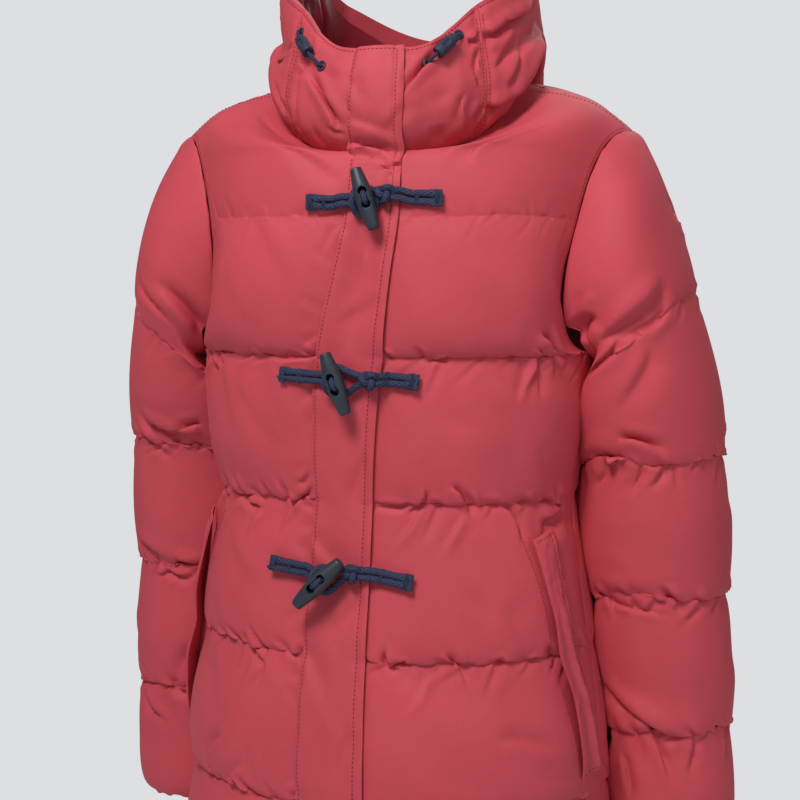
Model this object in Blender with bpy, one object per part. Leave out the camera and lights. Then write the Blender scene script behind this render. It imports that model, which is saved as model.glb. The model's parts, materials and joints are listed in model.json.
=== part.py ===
"""Padded hooded toggle coat in its worn shape, hollow, without the wearer.

Metres, +Z up. The front faces -Y, +X is the wearer's left. The origin is the
middle of the neck opening at the height of the shoulder seams' neck ends.
"""
import math

import bpy
import bmesh
from mathutils import Matrix, Vector

for old in list(bpy.data.objects):
    bpy.data.objects.remove(old, do_unlink=True)

# ------------------------------------------------------------ driving sizes
SEAM_GAP = 0.0004
WALL = 0.0030
BODY_PUFF = 0.0125
SLEEVE_PUFF = 0.0085
ARMPIT_Z = -0.228
QUILT_Z = [-0.119, -0.228, -0.3425, -0.462, -0.575, -0.688, -0.800]
FLAP_HALF = 0.025
FLAP_WALL = 0.0024
FLAP_LIFT = 0.0009
HOOD_WALL = 0.0036
LINING_WALL = 0.0010
CORD_D = 0.0052
HOOD_CORD_D = 0.0028
TOGGLE_LENGTH = 0.050
TOGGLE_MID_D = 0.0145
TOGGLE_END_D = 0.0085
TOGGLE_HOLE_D = 0.0064
TOGGLE_HOLE_STEP = 0.0107

# body sections at seam level: z, half width, front depth, back depth, turn (deg), lean
BODY_ROWS = [
    (-0.060, 0.160, 0.106, 0.088, 5.0, 0.006),
    (-0.119, 0.167, 0.120, 0.098, 4.5, 0.006),
    (-0.165, 0.168, 0.122, 0.100, 2.0, 0.004),
    (-0.228, 0.169, 0.123, 0.102, -1.5, 0.001),
    (-0.300, 0.159, 0.117, 0.097, -4.0, 0.000),
    (-0.3425, 0.153, 0.113, 0.093, -5.0, 0.000),
    (-0.400, 0.159, 0.116, 0.098, -5.8, 0.000),
    (-0.462, 0.168, 0.126, 0.110, -6.3, 0.000),
    (-0.520, 0.175, 0.133, 0.120, -6.2, 0.000),
    (-0.575, 0.178, 0.137, 0.125, -6.0, 0.000),
    (-0.688, 0.186, 0.140, 0.128, -6.0, 0.000),
    (-0.800, 0.193, 0.142, 0.130, -6.0, 0.000),
]

# sleeve rings: place, outer x, outer z, inner x, inner z, middle y, half depth
SLEEVE_ROWS_LEFT = [
    (0.0, 0.192, -0.047, 0.172, -0.228, 0.008, 0.064),
    (0.3, 0.203, -0.066, 0.180, -0.236, 0.010, 0.068),
    (0.6, 0.221, -0.098, 0.180, -0.243, 0.014, 0.070),
    (1.0, 0.246, -0.178, 0.172, -0.258, 0.020, 0.070),
    (2.0, 0.266, -0.310, 0.152, -0.318, 0.036, 0.064),
    (3.0, 0.268, -0.424, 0.146, -0.424, 0.046, 0.059),
    (4.0, 0.270, -0.534, 0.158, -0.534, 0.053, 0.054),
    (5.0, 0.268, -0.638, 0.164, -0.638, 0.060, 0.052),
]
SLEEVE_ROWS_RIGHT = [
    (0.0, 0.192, -0.047, 0.172, -0.228, 0.008, 0.064),
    (0.3, 0.202, -0.066, 0.180, -0.236, 0.008, 0.068),
    (0.6, 0.219, -0.100, 0.180, -0.243, 0.014, 0.070),
    (1.0, 0.243, -0.178, 0.172, -0.258, 0.028, 0.070),
    (2.0, 0.264, -0.310, 0.146, -0.318, 0.058, 0.064),
    (3.0, 0.266, -0.424, 0.140, -0.424, 0.073, 0.059),
    (4.0, 0.268, -0.534, 0.154, -0.534, 0.078, 0.054),
    (5.0, 0.266, -0.638, 0.161, -0.638, 0.081, 0.052),
]

# hood profiles by angle round the neck: nine (outward, height) pairs each,
# from the neck seam up to the free edge
HOOD_PROFILES = {
    0: [(0, -0.067), (0.008, -0.056), (0.011, -0.046), (0.012, -0.036),
        (0.012, -0.026), (0.011, -0.016), (0.009, -0.006), (0.005, 0.003),
        (0.001, 0.012)],
    25: [(0, -0.066), (0.009, -0.055), (0.013, -0.044), (0.014, -0.033),
         (0.014, -0.022), (0.012, -0.012), (0.009, -0.002), (0.005, 0.008),
         (0.000, 0.017)],
    50: [(0, -0.0565), (0.010, -0.046), (0.015, -0.034), (0.016, -0.020),
         (0.014, -0.005), (0.010, 0.010), (0.008, 0.024), (0.005, 0.038),
         (0.002, 0.050)],
    70: [(0, -0.0355), (0.010, -0.026), (0.018, -0.017), (0.021, -0.005),
         (0.018, 0.008), (0.011, 0.017), (0.011, 0.034), (0.010, 0.052),
         (0.007, 0.069)],
    90: [(0, 0.000), (0.008, 0.009), (0.018, 0.014), (0.024, 0.020),
         (0.021, 0.028), (0.013, 0.034), (0.016, 0.053), (0.017, 0.074),
         (0.013, 0.094)],
    120: [(0, 0.003), (0.010, 0.011), (0.023, 0.014), (0.032, 0.018),
          (0.034, 0.027), (0.030, 0.040), (0.030, 0.062), (0.027, 0.085),
          (0.022, 0.105)],
    150: [(0, 0.009), (0.027, 0.003), (0.049, -0.032), (0.062, -0.066),
          (0.076, -0.078), (0.084, -0.058), (0.084, -0.020), (0.078, 0.030),
          (0.068, 0.078)],
    180: [(0, 0.012), (0.029, -0.011), (0.048, -0.069), (0.060, -0.128),
          (0.080, -0.156), (0.104, -0.134), (0.116, -0.076), (0.114, -0.014),
          (0.104, 0.050)],
}
HOOD_SHIFT = 0.002
HOOD_GAP = 0.0010

# row places in a baffle: (share of the baffle, share of the full puff)
UPPER_STEPS = [(0.0, 0.0), (0.14, 0.62), (0.38, 0.97), (0.62, 0.97), (0.86, 0.62)]
LOWER_STEPS = [(0.0, 0.0), (0.25, 0.86), (0.75, 0.86)]
TOP_PLACES = [0.0, 0.10, 0.20, 0.31, 0.46, 0.62, 0.77, 0.89]
TOP_PUFFS = [0.0, 0.5, 0.8, 0.95, 1.0, 0.95, 0.8, 0.55]


# ------------------------------------------------------------ small maths
def spline(x, xs, ys):
    """Smooth curve through a short table, flat outside it."""
    n = len(xs)
    if x <= xs[0]:
        return ys[0]
    if x >= xs[-1]:
        return ys[-1]
    i = 0
    while x > xs[i + 1]:
        i += 1

    def slope(k):
        if k == 0:
            return (ys[1] - ys[0]) / (xs[1] - xs[0])
        if k == n - 1:
            return (ys[-1] - ys[-2]) / (xs[-1] - xs[-2])
        return (ys[k + 1] - ys[k - 1]) / (xs[k + 1] - xs[k - 1])

    h = xs[i + 1] - xs[i]
    t = (x - xs[i]) / h
    a = ys[i] * (1 + 2 * t) * (1 - t) ** 2 + slope(i) * h * t * (1 - t) ** 2
    b = ys[i + 1] * t * t * (3 - 2 * t) + slope(i + 1) * h * t * t * (t - 1)
    return a + b


def column(rows, x, k):
    return spline(x, [r[0] for r in rows], [r[k] for r in rows])


def body(z, k):
    rows = BODY_ROWS[::-1]
    return spline(z, [r[0] for r in rows], [r[k] for r in rows])


def smooth(x, lo, hi):
    t = max(0.0, min(1.0, (x - lo) / (hi - lo)))
    return t * t * (3 - 2 * t)


def turned(p):
    """The slight twist of the worn coat: each height turned about the body axis."""
    a = math.radians(body(p.z, 4))
    c, s = math.cos(a), math.sin(a)
    return Vector((p.x * c - p.y * s + body(p.z, 5), p.x * s + p.y * c, p.z))


def inward(p):
    """Unit direction from a body surface point to the inside of the coat."""
    k = smooth(p.z, ARMPIT_Z, -0.05)
    target = Vector((0.80 * k * p.x, 0.0, p.z - 0.12 * k))
    return (target - p).normalized()


# ------------------------------------------------------------ body form
def neckline(w):
    """Neck seam at angle w (deg) from centre front, + towards the wearer's left."""
    a = math.radians(w)
    depth = 0.106 if math.cos(a) > 0 else 0.062
    if math.cos(a) > 0:
        z = -0.067 + 0.067 * (1 - math.cos(a)) ** 1.8
    else:
        z = 0.012 * math.cos(a) ** 2
    return Vector((0.092 * math.sin(a), -depth * math.cos(a), z))


def armhole(side, tau, front):
    """Armhole seam, tau 0 at the armpit to 1 at the shoulder point."""
    a = math.pi * tau
    ry = -0.062 if front else 0.060
    cut_in = 0.030 if front else 0.014
    bow = max(0.0, math.sin(a)) ** 0.8
    x = 0.169 + 0.023 * (1 - math.cos(a)) / 2 - cut_in * bow
    z = -0.1375 - 0.0905 * math.cos(a)
    return Vector((side * x, 0.003 + ry * bow, z))


def front_edge(t):
    """Centre front and neck seam, t 0 at armpit level to 1 at the neck point."""
    if t <= 0.4995:
        z = spline(t, [0, 0.35, 0.4995], [ARMPIT_Z, -0.119, -0.067])
        return Vector((0.0, -body(z, 2), z))
    return neckline(90.0 * (t - 0.4995) / 0.5005)


def back_edge(t):
    if t <= 0.7985:
        z = spline(t, [0, 0.35, 0.7985], [ARMPIT_Z, -0.119, 0.012])
        y = spline(z, [ARMPIT_Z, -0.119, -0.067, -0.03, 0.012],
                   [0.102, 0.098, 0.089, 0.078, 0.062])
        return Vector((0.0, y, z))
    return neckline(180.0 - 90.0 * (t - 0.7985) / 0.2015)


def tau_of(t):
    return spline(t, [0, 0.35, 1.0], [0, 0.551, 1.0])


def seam_point(side, u, q, front):
    """Seam-level point of a body panel: u from centre to side, q down the rows."""
    if q >= 2.0:
        z = spline(q, [2, 3, 4, 5, 6, 7], QUILT_Z[1:])
        a = math.pi / 2 * u
        depth = -body(z, 2) if front else body(z, 3)
        return Vector((side * body(z, 1) * math.sin(a), depth * math.cos(a), z))
    t = 1 - q * 0.65 if q <= 1 else 0.35 * (2 - q)
    start = front_edge(t) if front else back_edge(t)
    start.x *= side
    end = armhole(side, tau_of(t), front)
    depth = -body(ARMPIT_Z, 2) if front else body(ARMPIT_Z, 3)
    a = math.pi / 2 * u
    base = Vector((0, depth, 0)).lerp(Vector((body(ARMPIT_Z, 1), 0, 0)), u)
    bow = Vector((body(ARMPIT_Z, 1) * math.sin(a), depth * math.cos(a), 0)) - base
    wx = (1 - t) ** 1.5
    wy = (1 - t) ** 0.5
    p = start.lerp(end, u)
    return p + Vector((side * bow.x * wx, bow.y * wy, 0.015 * t * u * math.sin(math.pi * u)))


def flat_side(u, q):
    """Baffles are pressed flatter where the sleeves lie against them."""
    if q < 1.5:
        return 1.0
    return 1.0 - 0.60 * smooth(u, 0.66, 0.88)


def row_places():
    rows = list(zip(TOP_PLACES, TOP_PUFFS))
    rows += [(1 + v, h) for v, h in UPPER_STEPS]
    for k in range(2, 7):
        rows += [(k + v, h) for v, h in LOWER_STEPS]
    return rows + [(7.0, 0.0)]


ROWS = row_places()


def front_columns(q):
    """Share of the half width: the flap's columns first, then even steps."""
    width = 0.232 if q < 2 else 0.245
    first = [0.0, 0.0125 / width, FLAP_HALF / width]
    rest = [first[2] + (1 - first[2]) * k / 6 for k in range(1, 7)]
    return first + rest


NECK_POINTS = [neckline(3.0 * k) for k in range(61)]


def puff_amount(side, u, q, h, p, front):
    """How far the quilted face stands out of the seam level at p."""
    fade = smooth(1 - u, 0.0, 0.12) * flat_side(u, q)
    if front:
        fade *= smooth(u, 0.0, 0.26)
    if q < 1.2:
        at = Vector((abs(p.x), p.y, p.z))
        near = min((at - n).length for n in NECK_POINTS)
        fade *= smooth(near, 0.001, 0.036)
    return BODY_PUFF * h * fade


def body_skin(side, u, q, h, front, inset):
    """Outer and inner point of a body panel, puffed out by h and twisted."""
    p = seam_point(side, u, q, front)
    d = inward(p)
    amount = puff_amount(side, u, q, h, p, front)
    p = p + inset
    return turned(p - d * amount), turned(p + d * WALL)


# ------------------------------------------------------------ mesh helpers
def add_object(name, mesh, material, flat=False):
    ob = bpy.data.objects.new(name, mesh)
    bpy.context.scene.collection.objects.link(ob)
    mesh.materials.append(material)
    for poly in mesh.polygons:
        poly.use_smooth = not flat
    return ob


def material(name, colour, roughness, metallic=0.0):
    m = bpy.data.materials.new(name)
    m.use_nodes = True
    shader = m.node_tree.nodes["Principled BSDF"]
    shader.inputs["Base Color"].default_value = (*colour, 1.0)
    shader.inputs["Roughness"].default_value = roughness
    shader.inputs["Metallic"].default_value = metallic
    m.diffuse_color = (*colour, 1.0)
    return m


def wall_mesh(name, outer, inner, quads):
    """Closed wall from an outer skin, its inner skin and the skin's faces."""
    n = len(outer)
    faces = [tuple(f) for f in quads]
    faces += [tuple(n + k for k in reversed(f)) for f in quads]
    count = {}
    for f in quads:
        for a, b in zip(f, f[1:] + f[:1]):
            count[(a, b)] = count.get((a, b), 0) + 1
    for a, b in list(count):
        if (b, a) not in count:
            faces.append((b, a, n + a, n + b))
    mesh = bpy.data.meshes.new(name)
    mesh.from_pydata([tuple(p) for p in outer + inner], [], faces)
    bm = bmesh.new()
    bm.from_mesh(mesh)
    bmesh.ops.recalc_face_normals(bm, faces=bm.faces)
    bmesh.ops.triangulate(bm, faces=bm.faces)
    bm.to_mesh(mesh)
    bm.free()
    return mesh


def grid_quads(rows, cols, closed=False):
    quads = []
    for i in range(rows - 1):
        for j in range(cols if closed else cols - 1):
            k = (j + 1) % cols
            quads.append([i * cols + j, i * cols + k, (i + 1) * cols + k, (i + 1) * cols + j])
    return quads


def wall_grid(name, outer_rows, inner_rows, mat, closed=False):
    rows = len(outer_rows)
    cols = len(outer_rows[0])
    outer = [p for row in outer_rows for p in row]
    inner = [p for row in inner_rows for p in row]
    return add_object(name, wall_mesh(name, outer, inner, grid_quads(rows, cols, closed)), mat)


def tube(name, path, radius, mat, sides=10, closed=False):
    """Round cord along a path of points."""
    n = len(path)
    verts, faces = [], []
    ref = None
    for i, p in enumerate(path):
        a = path[(i - 1) % n] if closed or i > 0 else p
        b = path[(i + 1) % n] if closed or i < n - 1 else p
        d = (b - a).normalized()
        if ref is None:
            ref = d.orthogonal().normalized()
        ref = (ref - d * ref.dot(d)).normalized()
        other = d.cross(ref)
        r = radius(i) if callable(radius) else radius
        for k in range(sides):
            w = 2 * math.pi * k / sides
            verts.append(p + (ref * math.cos(w) + other * math.sin(w)) * r)
    for i in range(n if closed else n - 1):
        for k in range(sides):
            m = (k + 1) % sides
            j = (i + 1) % n
            faces.append((i * sides + k, i * sides + m, j * sides + m, j * sides + k))
    if not closed:
        faces.append(tuple(reversed(range(sides))))
        faces.append(tuple((n - 1) * sides + k for k in range(sides)))
    mesh = bpy.data.meshes.new(name)
    mesh.from_pydata([tuple(v) for v in verts], [], faces)
    bm = bmesh.new()
    bm.from_mesh(mesh)
    bmesh.ops.recalc_face_normals(bm, faces=bm.faces)
    bm.to_mesh(mesh)
    bm.free()
    return add_object(name, mesh, mat)


SHELL = material("shell polyester", (0.55, 0.075, 0.100), 0.62)
LINING = material("lining satin", (0.36, 0.020, 0.045), 0.40)
CORD = material("cord braid", (0.030, 0.040, 0.085), 0.80)
TOGGLE = material("toggle plastic", (0.040, 0.052, 0.070), 0.50)
RUBBER = material("stopper rubber", (0.024, 0.032, 0.055), 0.55)

# ------------------------------------------------------------ front panels
for side, name in ((-1, "front_right"), (1, "front_left")):
    outer_rows, inner_rows = [], []
    for q, h in ROWS:
        outs, ins = [], []
        us = front_columns(q)
        for c, u in enumerate(us):
            inset = Vector((0, 0, 0))
            if c == 0:
                inset += Vector((side * SEAM_GAP, 0, 0))
            if c == len(us) - 1:
                inset += Vector((0, -SEAM_GAP / 2, 0)) if q >= 2 else Vector((-side * SEAM_GAP, 0, 0))
            if q == 0.0:
                inset += Vector((0, -SEAM_GAP / 2, 0))
            a, b = body_skin(side, u, q, h, True, inset)
            outs.append(a)
            ins.append(b)
        outer_rows.append(outs)
        inner_rows.append(ins)
    wall_grid(name, outer_rows, inner_rows, SHELL)

# ------------------------------------------------------------ back panel
BACK_HALF = 7
NECK_ROW = TOP_PLACES.index(0.31)
outer, inner, quads, index = [], [], [], {}
for r, (q, h) in enumerate(ROWS):
    for side in (-1, 1):
        for c in range(BACK_HALF + 1):
            key = (r, side * c) if (c or r >= NECK_ROW) else (r, side * 0.5)
            if key in index:
                continue
            inset = Vector((0, 0, 0))
            if c == BACK_HALF:
                inset += Vector((0, SEAM_GAP / 2, 0)) if q >= 2 else Vector((-side * SEAM_GAP, 0, 0))
            if q == 0.0:
                inset += Vector((0, SEAM_GAP / 2, 0))
            a, b = body_skin(side, c / BACK_HALF, q, h, False, inset)
            index[key] = len(outer)
            outer.append(a)
            inner.append(b)
for r in range(len(ROWS) - 1):
    for side in (-1, 1):
        for c in range(BACK_HALF):
            def vertex(row, col):
                key = (row, side * col)
                if col == 0 and row < NECK_ROW:
                    key = (row, side * 0.5)
                return index[key]
            f = [vertex(r, c), vertex(r, c + 1), vertex(r + 1, c + 1), vertex(r + 1, c)]
            quads.append(f if side < 0 else f[::-1])
add_object("back", wall_mesh("back", outer, inner, quads), SHELL)

# ------------------------------------------------------------ sleeves
ARM_ROWS = [(q, h) for q, h in ROWS if q <= 2.0]


def puff_share(q):
    """Full-puff share at row place q, straight between the rows."""
    for (q0, h0), (q1, h1) in zip(ROWS, ROWS[1:]):
        if q0 <= q <= q1:
            return h0 + (h1 - h0) * (q - q0) / (q1 - q0)
    return 0.0


def body_limit(p, extra):
    """Push a sleeve point out of the body's puffed section at its height."""
    if p.z > ARMPIT_Z + 0.02:
        return p
    z = min(p.z, ARMPIT_Z)
    k = 1
    while k < 5 and z < QUILT_Z[k + 1]:
        k += 1
    q = k + 1 + (QUILT_Z[k] - z) / (QUILT_Z[k] - QUILT_Z[k + 1])
    a = math.radians(-body(p.z, 4))
    c, s = math.cos(a), math.sin(a)
    x, y = p.x * c - p.y * s, p.x * s + p.y * c
    hw = body(z, 1)
    depth = body(z, 3) if y > 0 else body(z, 2)
    u = math.atan2(abs(x) / hw, abs(y) / depth) / (math.pi / 2)
    amount = BODY_PUFF * puff_share(q) * smooth(1 - u, 0.0, 0.12) * flat_side(u, q) + extra
    g = math.hypot(x / (hw + amount), y / (depth + amount))
    if g >= 1.0 or g == 0.0:
        return p
    x, y = x / g, y / g
    s = -s
    return Vector((x * c - y * s, x * s + y * c, p.z))


def sleeve_ring(side, rows, s, angle):
    """Seam-level sleeve point, angle 0 on the outer line, positive to the front."""
    xo, zo = column(rows, s, 1), column(rows, s, 2)
    xi, zi = column(rows, s, 3), column(rows, s, 4)
    yc, rv = column(rows, s, 5), column(rows, s, 6)
    c, w = math.cos(angle), math.sin(angle)
    x = (xo + xi) / 2 + (xo - xi) / 2 * c
    z = (zo + zi) / 2 + (zo - zi) / 2 * c
    centre = Vector((side * (xo + xi) / 2, yc, (zo + zi) / 2))
    return Vector((side * x, yc - rv * w, z)), centre


def sleeve_skin(side, rows, s, h, angle, seam_p):
    p, centre = sleeve_ring(side, rows, s, angle)
    blend = smooth(s, 0.0, 0.75)
    if seam_p is not None:
        base = seam_p + Vector((side * 0.042 * s, 0, -0.040 * s * max(0.0, math.cos(angle))))
        p = base.lerp(p, blend) if s > 0 else seam_p.copy()
    d = (centre - p).normalized()
    head = 1 - 0.6 * (1 - smooth(s, 0.0, 1.0)) * max(0.0, math.cos(angle))
    out = p - d * SLEEVE_PUFF * h * head
    extra = 0.0034
    out = body_limit(out, extra)
    inn = body_limit(p, extra)
    inn = inn + (centre - inn).normalized() * WALL
    return out, inn


SLEEVE_STEPS = [(0.0, 0.0), (0.25, 0.88), (0.75, 0.88)]
for side, name, rows in ((-1, "sleeve_right", SLEEVE_ROWS_RIGHT), (1, "sleeve_left", SLEEVE_ROWS_LEFT)):
    loop = []
    for q, h in ARM_ROWS:
        t = 1 - q * 0.65 if q <= 1 else 0.35 * (2 - q)
        loop.append((tau_of(t), True))
    for q, h in ARM_ROWS[-2:0:-1]:
        t = 1 - q * 0.65 if q <= 1 else 0.35 * (2 - q)
        loop.append((tau_of(t), False))
    places = [(k + v, h) for k in range(5) for v, h in SLEEVE_STEPS] + [(5.0, 0.0)]
    outer_rows, inner_rows = [], []
    for s, h in places:
        outs, ins = [], []
        for tau, is_front in loop:
            angle = math.pi * (1 - tau) * (1 if is_front else -1)
            seam_p = turned(armhole(side, tau, is_front) + Vector((0, 0, 0)))
            seam_p = seam_p + Vector((side * SEAM_GAP, 0, 0))
            a, b = sleeve_skin(side, rows, s, h, angle, seam_p)
            if s == 0.0:
                b = seam_p + Vector((0, 0.005 - seam_p.y, -0.134 - seam_p.z)).normalized() * WALL
            outs.append(a)
            ins.append(b)
        outer_rows.append(outs)
        inner_rows.append(ins)
    wall_grid(name, outer_rows, inner_rows, SHELL, closed=True)

# ------------------------------------------------------------ hood
HOOD_ANGLES = [-25] + sorted(HOOD_PROFILES) + [210]
HOOD_PROFILES[-25] = HOOD_PROFILES[25]
HOOD_PROFILES[210] = HOOD_PROFILES[150]


def hood_profile(w, k):
    """Outward offset and height at angle w (deg, 0 to 180) and place k (0 to 8)."""
    out = []
    for c in (0, 1):
        vals = []
        for a in HOOD_ANGLES:
            vals.append(spline(k, list(range(9)), [pair[c] for pair in HOOD_PROFILES[a]]))
        out.append(spline(w, HOOD_ANGLES, vals))
    return out


def neck_polygon(w):
    """Neck seam on the chords of the body panels' rows."""
    marks = []
    for q in TOP_PLACES + [1.0]:
        t = 1 - q * 0.65
        if t >= 0.4995:
            marks.append(90.0 * (t - 0.4995) / 0.5005)
        if t >= 0.7984:
            marks.append(180.0 - 90.0 * (t - 0.7985) / 0.2015)
    marks = sorted(set(round(m, 4) for m in marks))
    a = abs(w)
    side = -1 if w < 0 else 1
    for lo, hi in zip(marks, marks[1:]):
        if lo - 0.01 <= a <= hi + 0.01:
            f = (a - lo) / (hi - lo)
            p = turned(neckline(lo)).lerp(turned(neckline(hi)), f)
            if side < 0:
                lo_p, hi_p = neckline(-lo), neckline(-hi)
                p = turned(lo_p).lerp(turned(hi_p), f)
            return p
    return turned(neckline(w))


def hood_seam_point(w, k):
    """Outer face of the hood at angle w and place k."""
    w = (w + 180.0) % 360.0 - 180.0
    o, z = hood_profile(abs(w), k)
    base = neck_polygon(w)
    r = math.radians(w + 3.0)
    shift = HOOD_SHIFT * smooth(k, 1.0, 5.0)
    p = Vector((base.x + math.sin(r) * o + shift, base.y - math.cos(r) * o, z))
    p.z += (base.z - hood_profile(abs(w), 0.0)[1]) * (1 - smooth(k, 0.0, 2.0)) + HOOD_GAP
    return p


def hood_point(w, k, depth):
    """Point of the hood's wall at angle w, place k, moved in by depth."""
    p = hood_seam_point(w, k)
    if depth == 0.0:
        return p
    along = hood_seam_point(w, min(8.0, k + 0.1)) - hood_seam_point(w, max(0.0, k - 0.1))
    r = math.radians(w + 3.0)
    out = Vector((math.sin(r), -math.cos(r), 0))
    plain = Vector((-along.z * out.x, -along.z * out.y, along.dot(out))).normalized()
    round_neck = hood_seam_point(w + 1.5, k) - hood_seam_point(w - 1.5, k)
    n = round_neck.cross(along).normalized()
    if n.dot(plain) < 0:
        n = -n
    n = plain.lerp(n, smooth(k, 0.0, 1.0)).normalized()
    return p + n * depth


def hood_piece(name, w0, w1, cols, k_rows, depth0, depth1, mat, puff=0.0):
    outer_rows, inner_rows = [], []
    inset = 0.12
    for k in k_rows:
        outs, ins = [], []
        for c in range(cols + 1):
            w = w0 + inset + (w1 - w0 - 2 * inset) * c / cols
            outs.append(hood_point(w, k, depth0))
            ins.append(hood_point(w, k, depth1))
        outer_rows.append(outs)
        inner_rows.append(ins)
    return wall_grid(name, outer_rows, inner_rows, mat)


K_ROWS = [0, 0.6, 1.3, 2, 2.7, 3.4, 4.1, 4.8, 5.5, 6.3, 7.1, 8]
hood_piece("chin_panel_right", -50, 0, 5, K_ROWS, 0.0, HOOD_WALL, SHELL)
hood_piece("chin_panel_left", 0, 50, 5, K_ROWS, 0.0, HOOD_WALL, SHELL)
hood_piece("hood_side_right", -146, -50, 9, K_ROWS, 0.0, HOOD_WALL, SHELL)
hood_piece("hood_side_left", 50, 146, 9, K_ROWS, 0.0, HOOD_WALL, SHELL)
hood_piece("hood_centre", 146, 214, 6, K_ROWS, 0.0, HOOD_WALL, SHELL)


# ------------------------------------------------------------ hood lining
lining_w = [2.0, 10, 20, 30, 40, 50]
lining_w += [50 + 96 * c / 9 for c in range(1, 10)]
lining_w += [146 + 68 * c / 6 for c in range(1, 7)]
lining_w += [214 + 96 * c / 9 for c in range(1, 10)]
lining_w += [320, 330, 340, 350, 358]
outer_rows, inner_rows = [], []
for k in [0.3] + K_ROWS[1:-1] + [7.7]:
    outer_rows.append([hood_point(w, k, HOOD_WALL + 0.0014) for w in lining_w])
    inner_rows.append([hood_point(w, k, HOOD_WALL + 0.0014 + LINING_WALL) for w in lining_w])
wall_grid("hood_lining", outer_rows, inner_rows, LINING)

# ------------------------------------------------------------ front flap
FLAP_S = [-FLAP_HALF, -0.0125, 0.0, 0.0125, FLAP_HALF]


def front_skin(s, q, h):
    """Outer point of the fronts at arc distance s from centre, and its normal."""
    side = -1 if s < 0 else 1
    width = 0.232 if q < 2 else 0.245
    u = abs(s) / width
    p = seam_point(side, u, q, True)
    d = inward(p)
    out = p - d * puff_amount(side, u, q, h, p, True)
    return turned(out), (turned(out - d) - turned(out)).normalized()


lower, upper = [], []
for q, h in [row for row in ROWS if row[0] > 0.7][::-1]:
    lo_row, hi_row = [], []
    for s in FLAP_S:
        p, n = front_skin(s, q, h)
        if q < 0.8:
            n = Vector((0, -1, 0.1)).normalized()
        lo_row.append(p + n * FLAP_LIFT)
        hi_row.append(p + n * (FLAP_LIFT + FLAP_WALL))
    lower.append(lo_row)
    upper.append(hi_row)
for k in K_ROWS[1:]:
    lower.append([hood_point(s / 0.118 * 57.3, k, -FLAP_LIFT) for s in FLAP_S])
    upper.append([hood_point(s / 0.118 * 57.3, k, -FLAP_LIFT - FLAP_WALL) for s in FLAP_S])
wall_grid("front_flap", upper, lower, SHELL)

# ------------------------------------------------------------ pocket welts
WELT_TOP = (62.0, -0.367)
WELT_FOOT = (78.0, -0.556)
WELT_WIDTH = 0.028
WELT_WALL = 0.0024


def welt_point(side, along, across, lift):
    """Point on the body under the welt: along 0 top to 1 foot, across 0 to 1."""
    z = WELT_TOP[1] + (WELT_FOOT[1] - WELT_TOP[1]) * along
    theta = WELT_TOP[0] + (WELT_FOOT[0] - WELT_TOP[0]) * along
    theta += (across - 0.5) * math.degrees(WELT_WIDTH / 0.155)
    z += (across - 0.5) * 0.008
    k = 1
    while k < 5 and z < QUILT_Z[k + 1]:
        k += 1
    q = k + 1 + (QUILT_Z[k] - z) / (QUILT_Z[k] - QUILT_Z[k + 1])
    u = theta / 90.0
    p = seam_point(side, u, q, True)
    share = 0.45 + 0.55 * puff_share(q)
    amount = BODY_PUFF * share * flat_side(u, q) + 0.0006 + lift
    return turned(p - inward(p) * amount)


for side, name in ((-1, "pocket_welt_right"), (1, "pocket_welt_left")):
    lower, upper = [], []
    for i in range(12):
        gape = 0.0020 * math.sin(math.pi * i / 11)
        lower.append([welt_point(side, i / 11, c / 2, gape * (1 - c / 2)) for c in range(3)])
        upper.append([welt_point(side, i / 11, c / 2, gape * (1 - c / 2) + WELT_WALL) for c in range(3)])
    wall_grid(name, upper, lower, SHELL)

# ------------------------------------------------------------ toggles, cords and loops
# number, toggle (s, z), lean (deg, top towards the wearer's right), height above
# the flap, cord end (s, z), loop end (s, z), wrap (s, z)
TOGGLES = [
    (1, (-0.0055, -0.110), 17.6, 0.0138, (-0.060, -0.109), (0.0645, -0.107), (0.0150, -0.105)),
    (2, (-0.003, -0.247), 19.0, 0.0138, (-0.052, -0.2436), (0.053, -0.2474), (0.0200, -0.245)),
    (3, (-0.0095, -0.405), -45.0, 0.0193, (-0.0555, -0.394), (0.0575, -0.401), (0.0150, -0.396)),
]


def surface(s, z, c):
    """Point c above the coat's front (over the flap where it lies) at s, z."""
    if z >= ARMPIT_Z:
        lo, hi = 0.77, 2.0
        for _ in range(30):
            mid = (lo + hi) / 2
            t = 1 - mid * 0.65 if mid <= 1 else 0.35 * (2 - mid)
            if front_edge(t).z > z:
                lo = mid
            else:
                hi = mid
        q = lo
    else:
        k = 1
        while k < 5 and z < QUILT_Z[k + 1]:
            k += 1
        q = k + 1 + (QUILT_Z[k] - z) / (QUILT_Z[k] - QUILT_Z[k + 1])
    for (q0, h0), (q1, h1) in zip(ROWS, ROWS[1:]):
        if q0 <= q <= q1:
            break
    f = (q - q0) / (q1 - q0)
    p = front_skin(s, q0, h0)[0].lerp(front_skin(s, q1, h1)[0], f)
    d = front_skin(s, q0, h0)[1].lerp(front_skin(s, q1, h1)[1], f)
    aside = front_skin(s + 0.003, q0, h0)[0] - front_skin(s - 0.003, q0, h0)[0]
    down = front_skin(s, q1, h1)[0] - front_skin(s, q0, h0)[0]
    n = down.cross(aside).normalized()
    if n.dot(d) < 0:
        n = -n
    over = smooth(FLAP_HALF + 0.005 - abs(s), -0.004, 0.003)
    return p + d * over * (FLAP_LIFT + FLAP_WALL) + n * c, n


def smooth_path(points, steps):
    """Catmull-Rom through the points."""
    out = []
    pts = [points[0] * 2 - points[1]] + points + [points[-1] * 2 - points[-2]]
    for i in range(1, len(pts) - 2):
        a, b, c, d = pts[i - 1:i + 3]
        for k in range(steps):
            t = k / steps
            out.append(0.5 * (2 * b + (c - a) * t + (2 * a - 5 * b + 4 * c - d) * t * t
                              + (3 * b - a - 3 * c + d) * t ** 3))
    out.append(points[-1])
    return out


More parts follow.
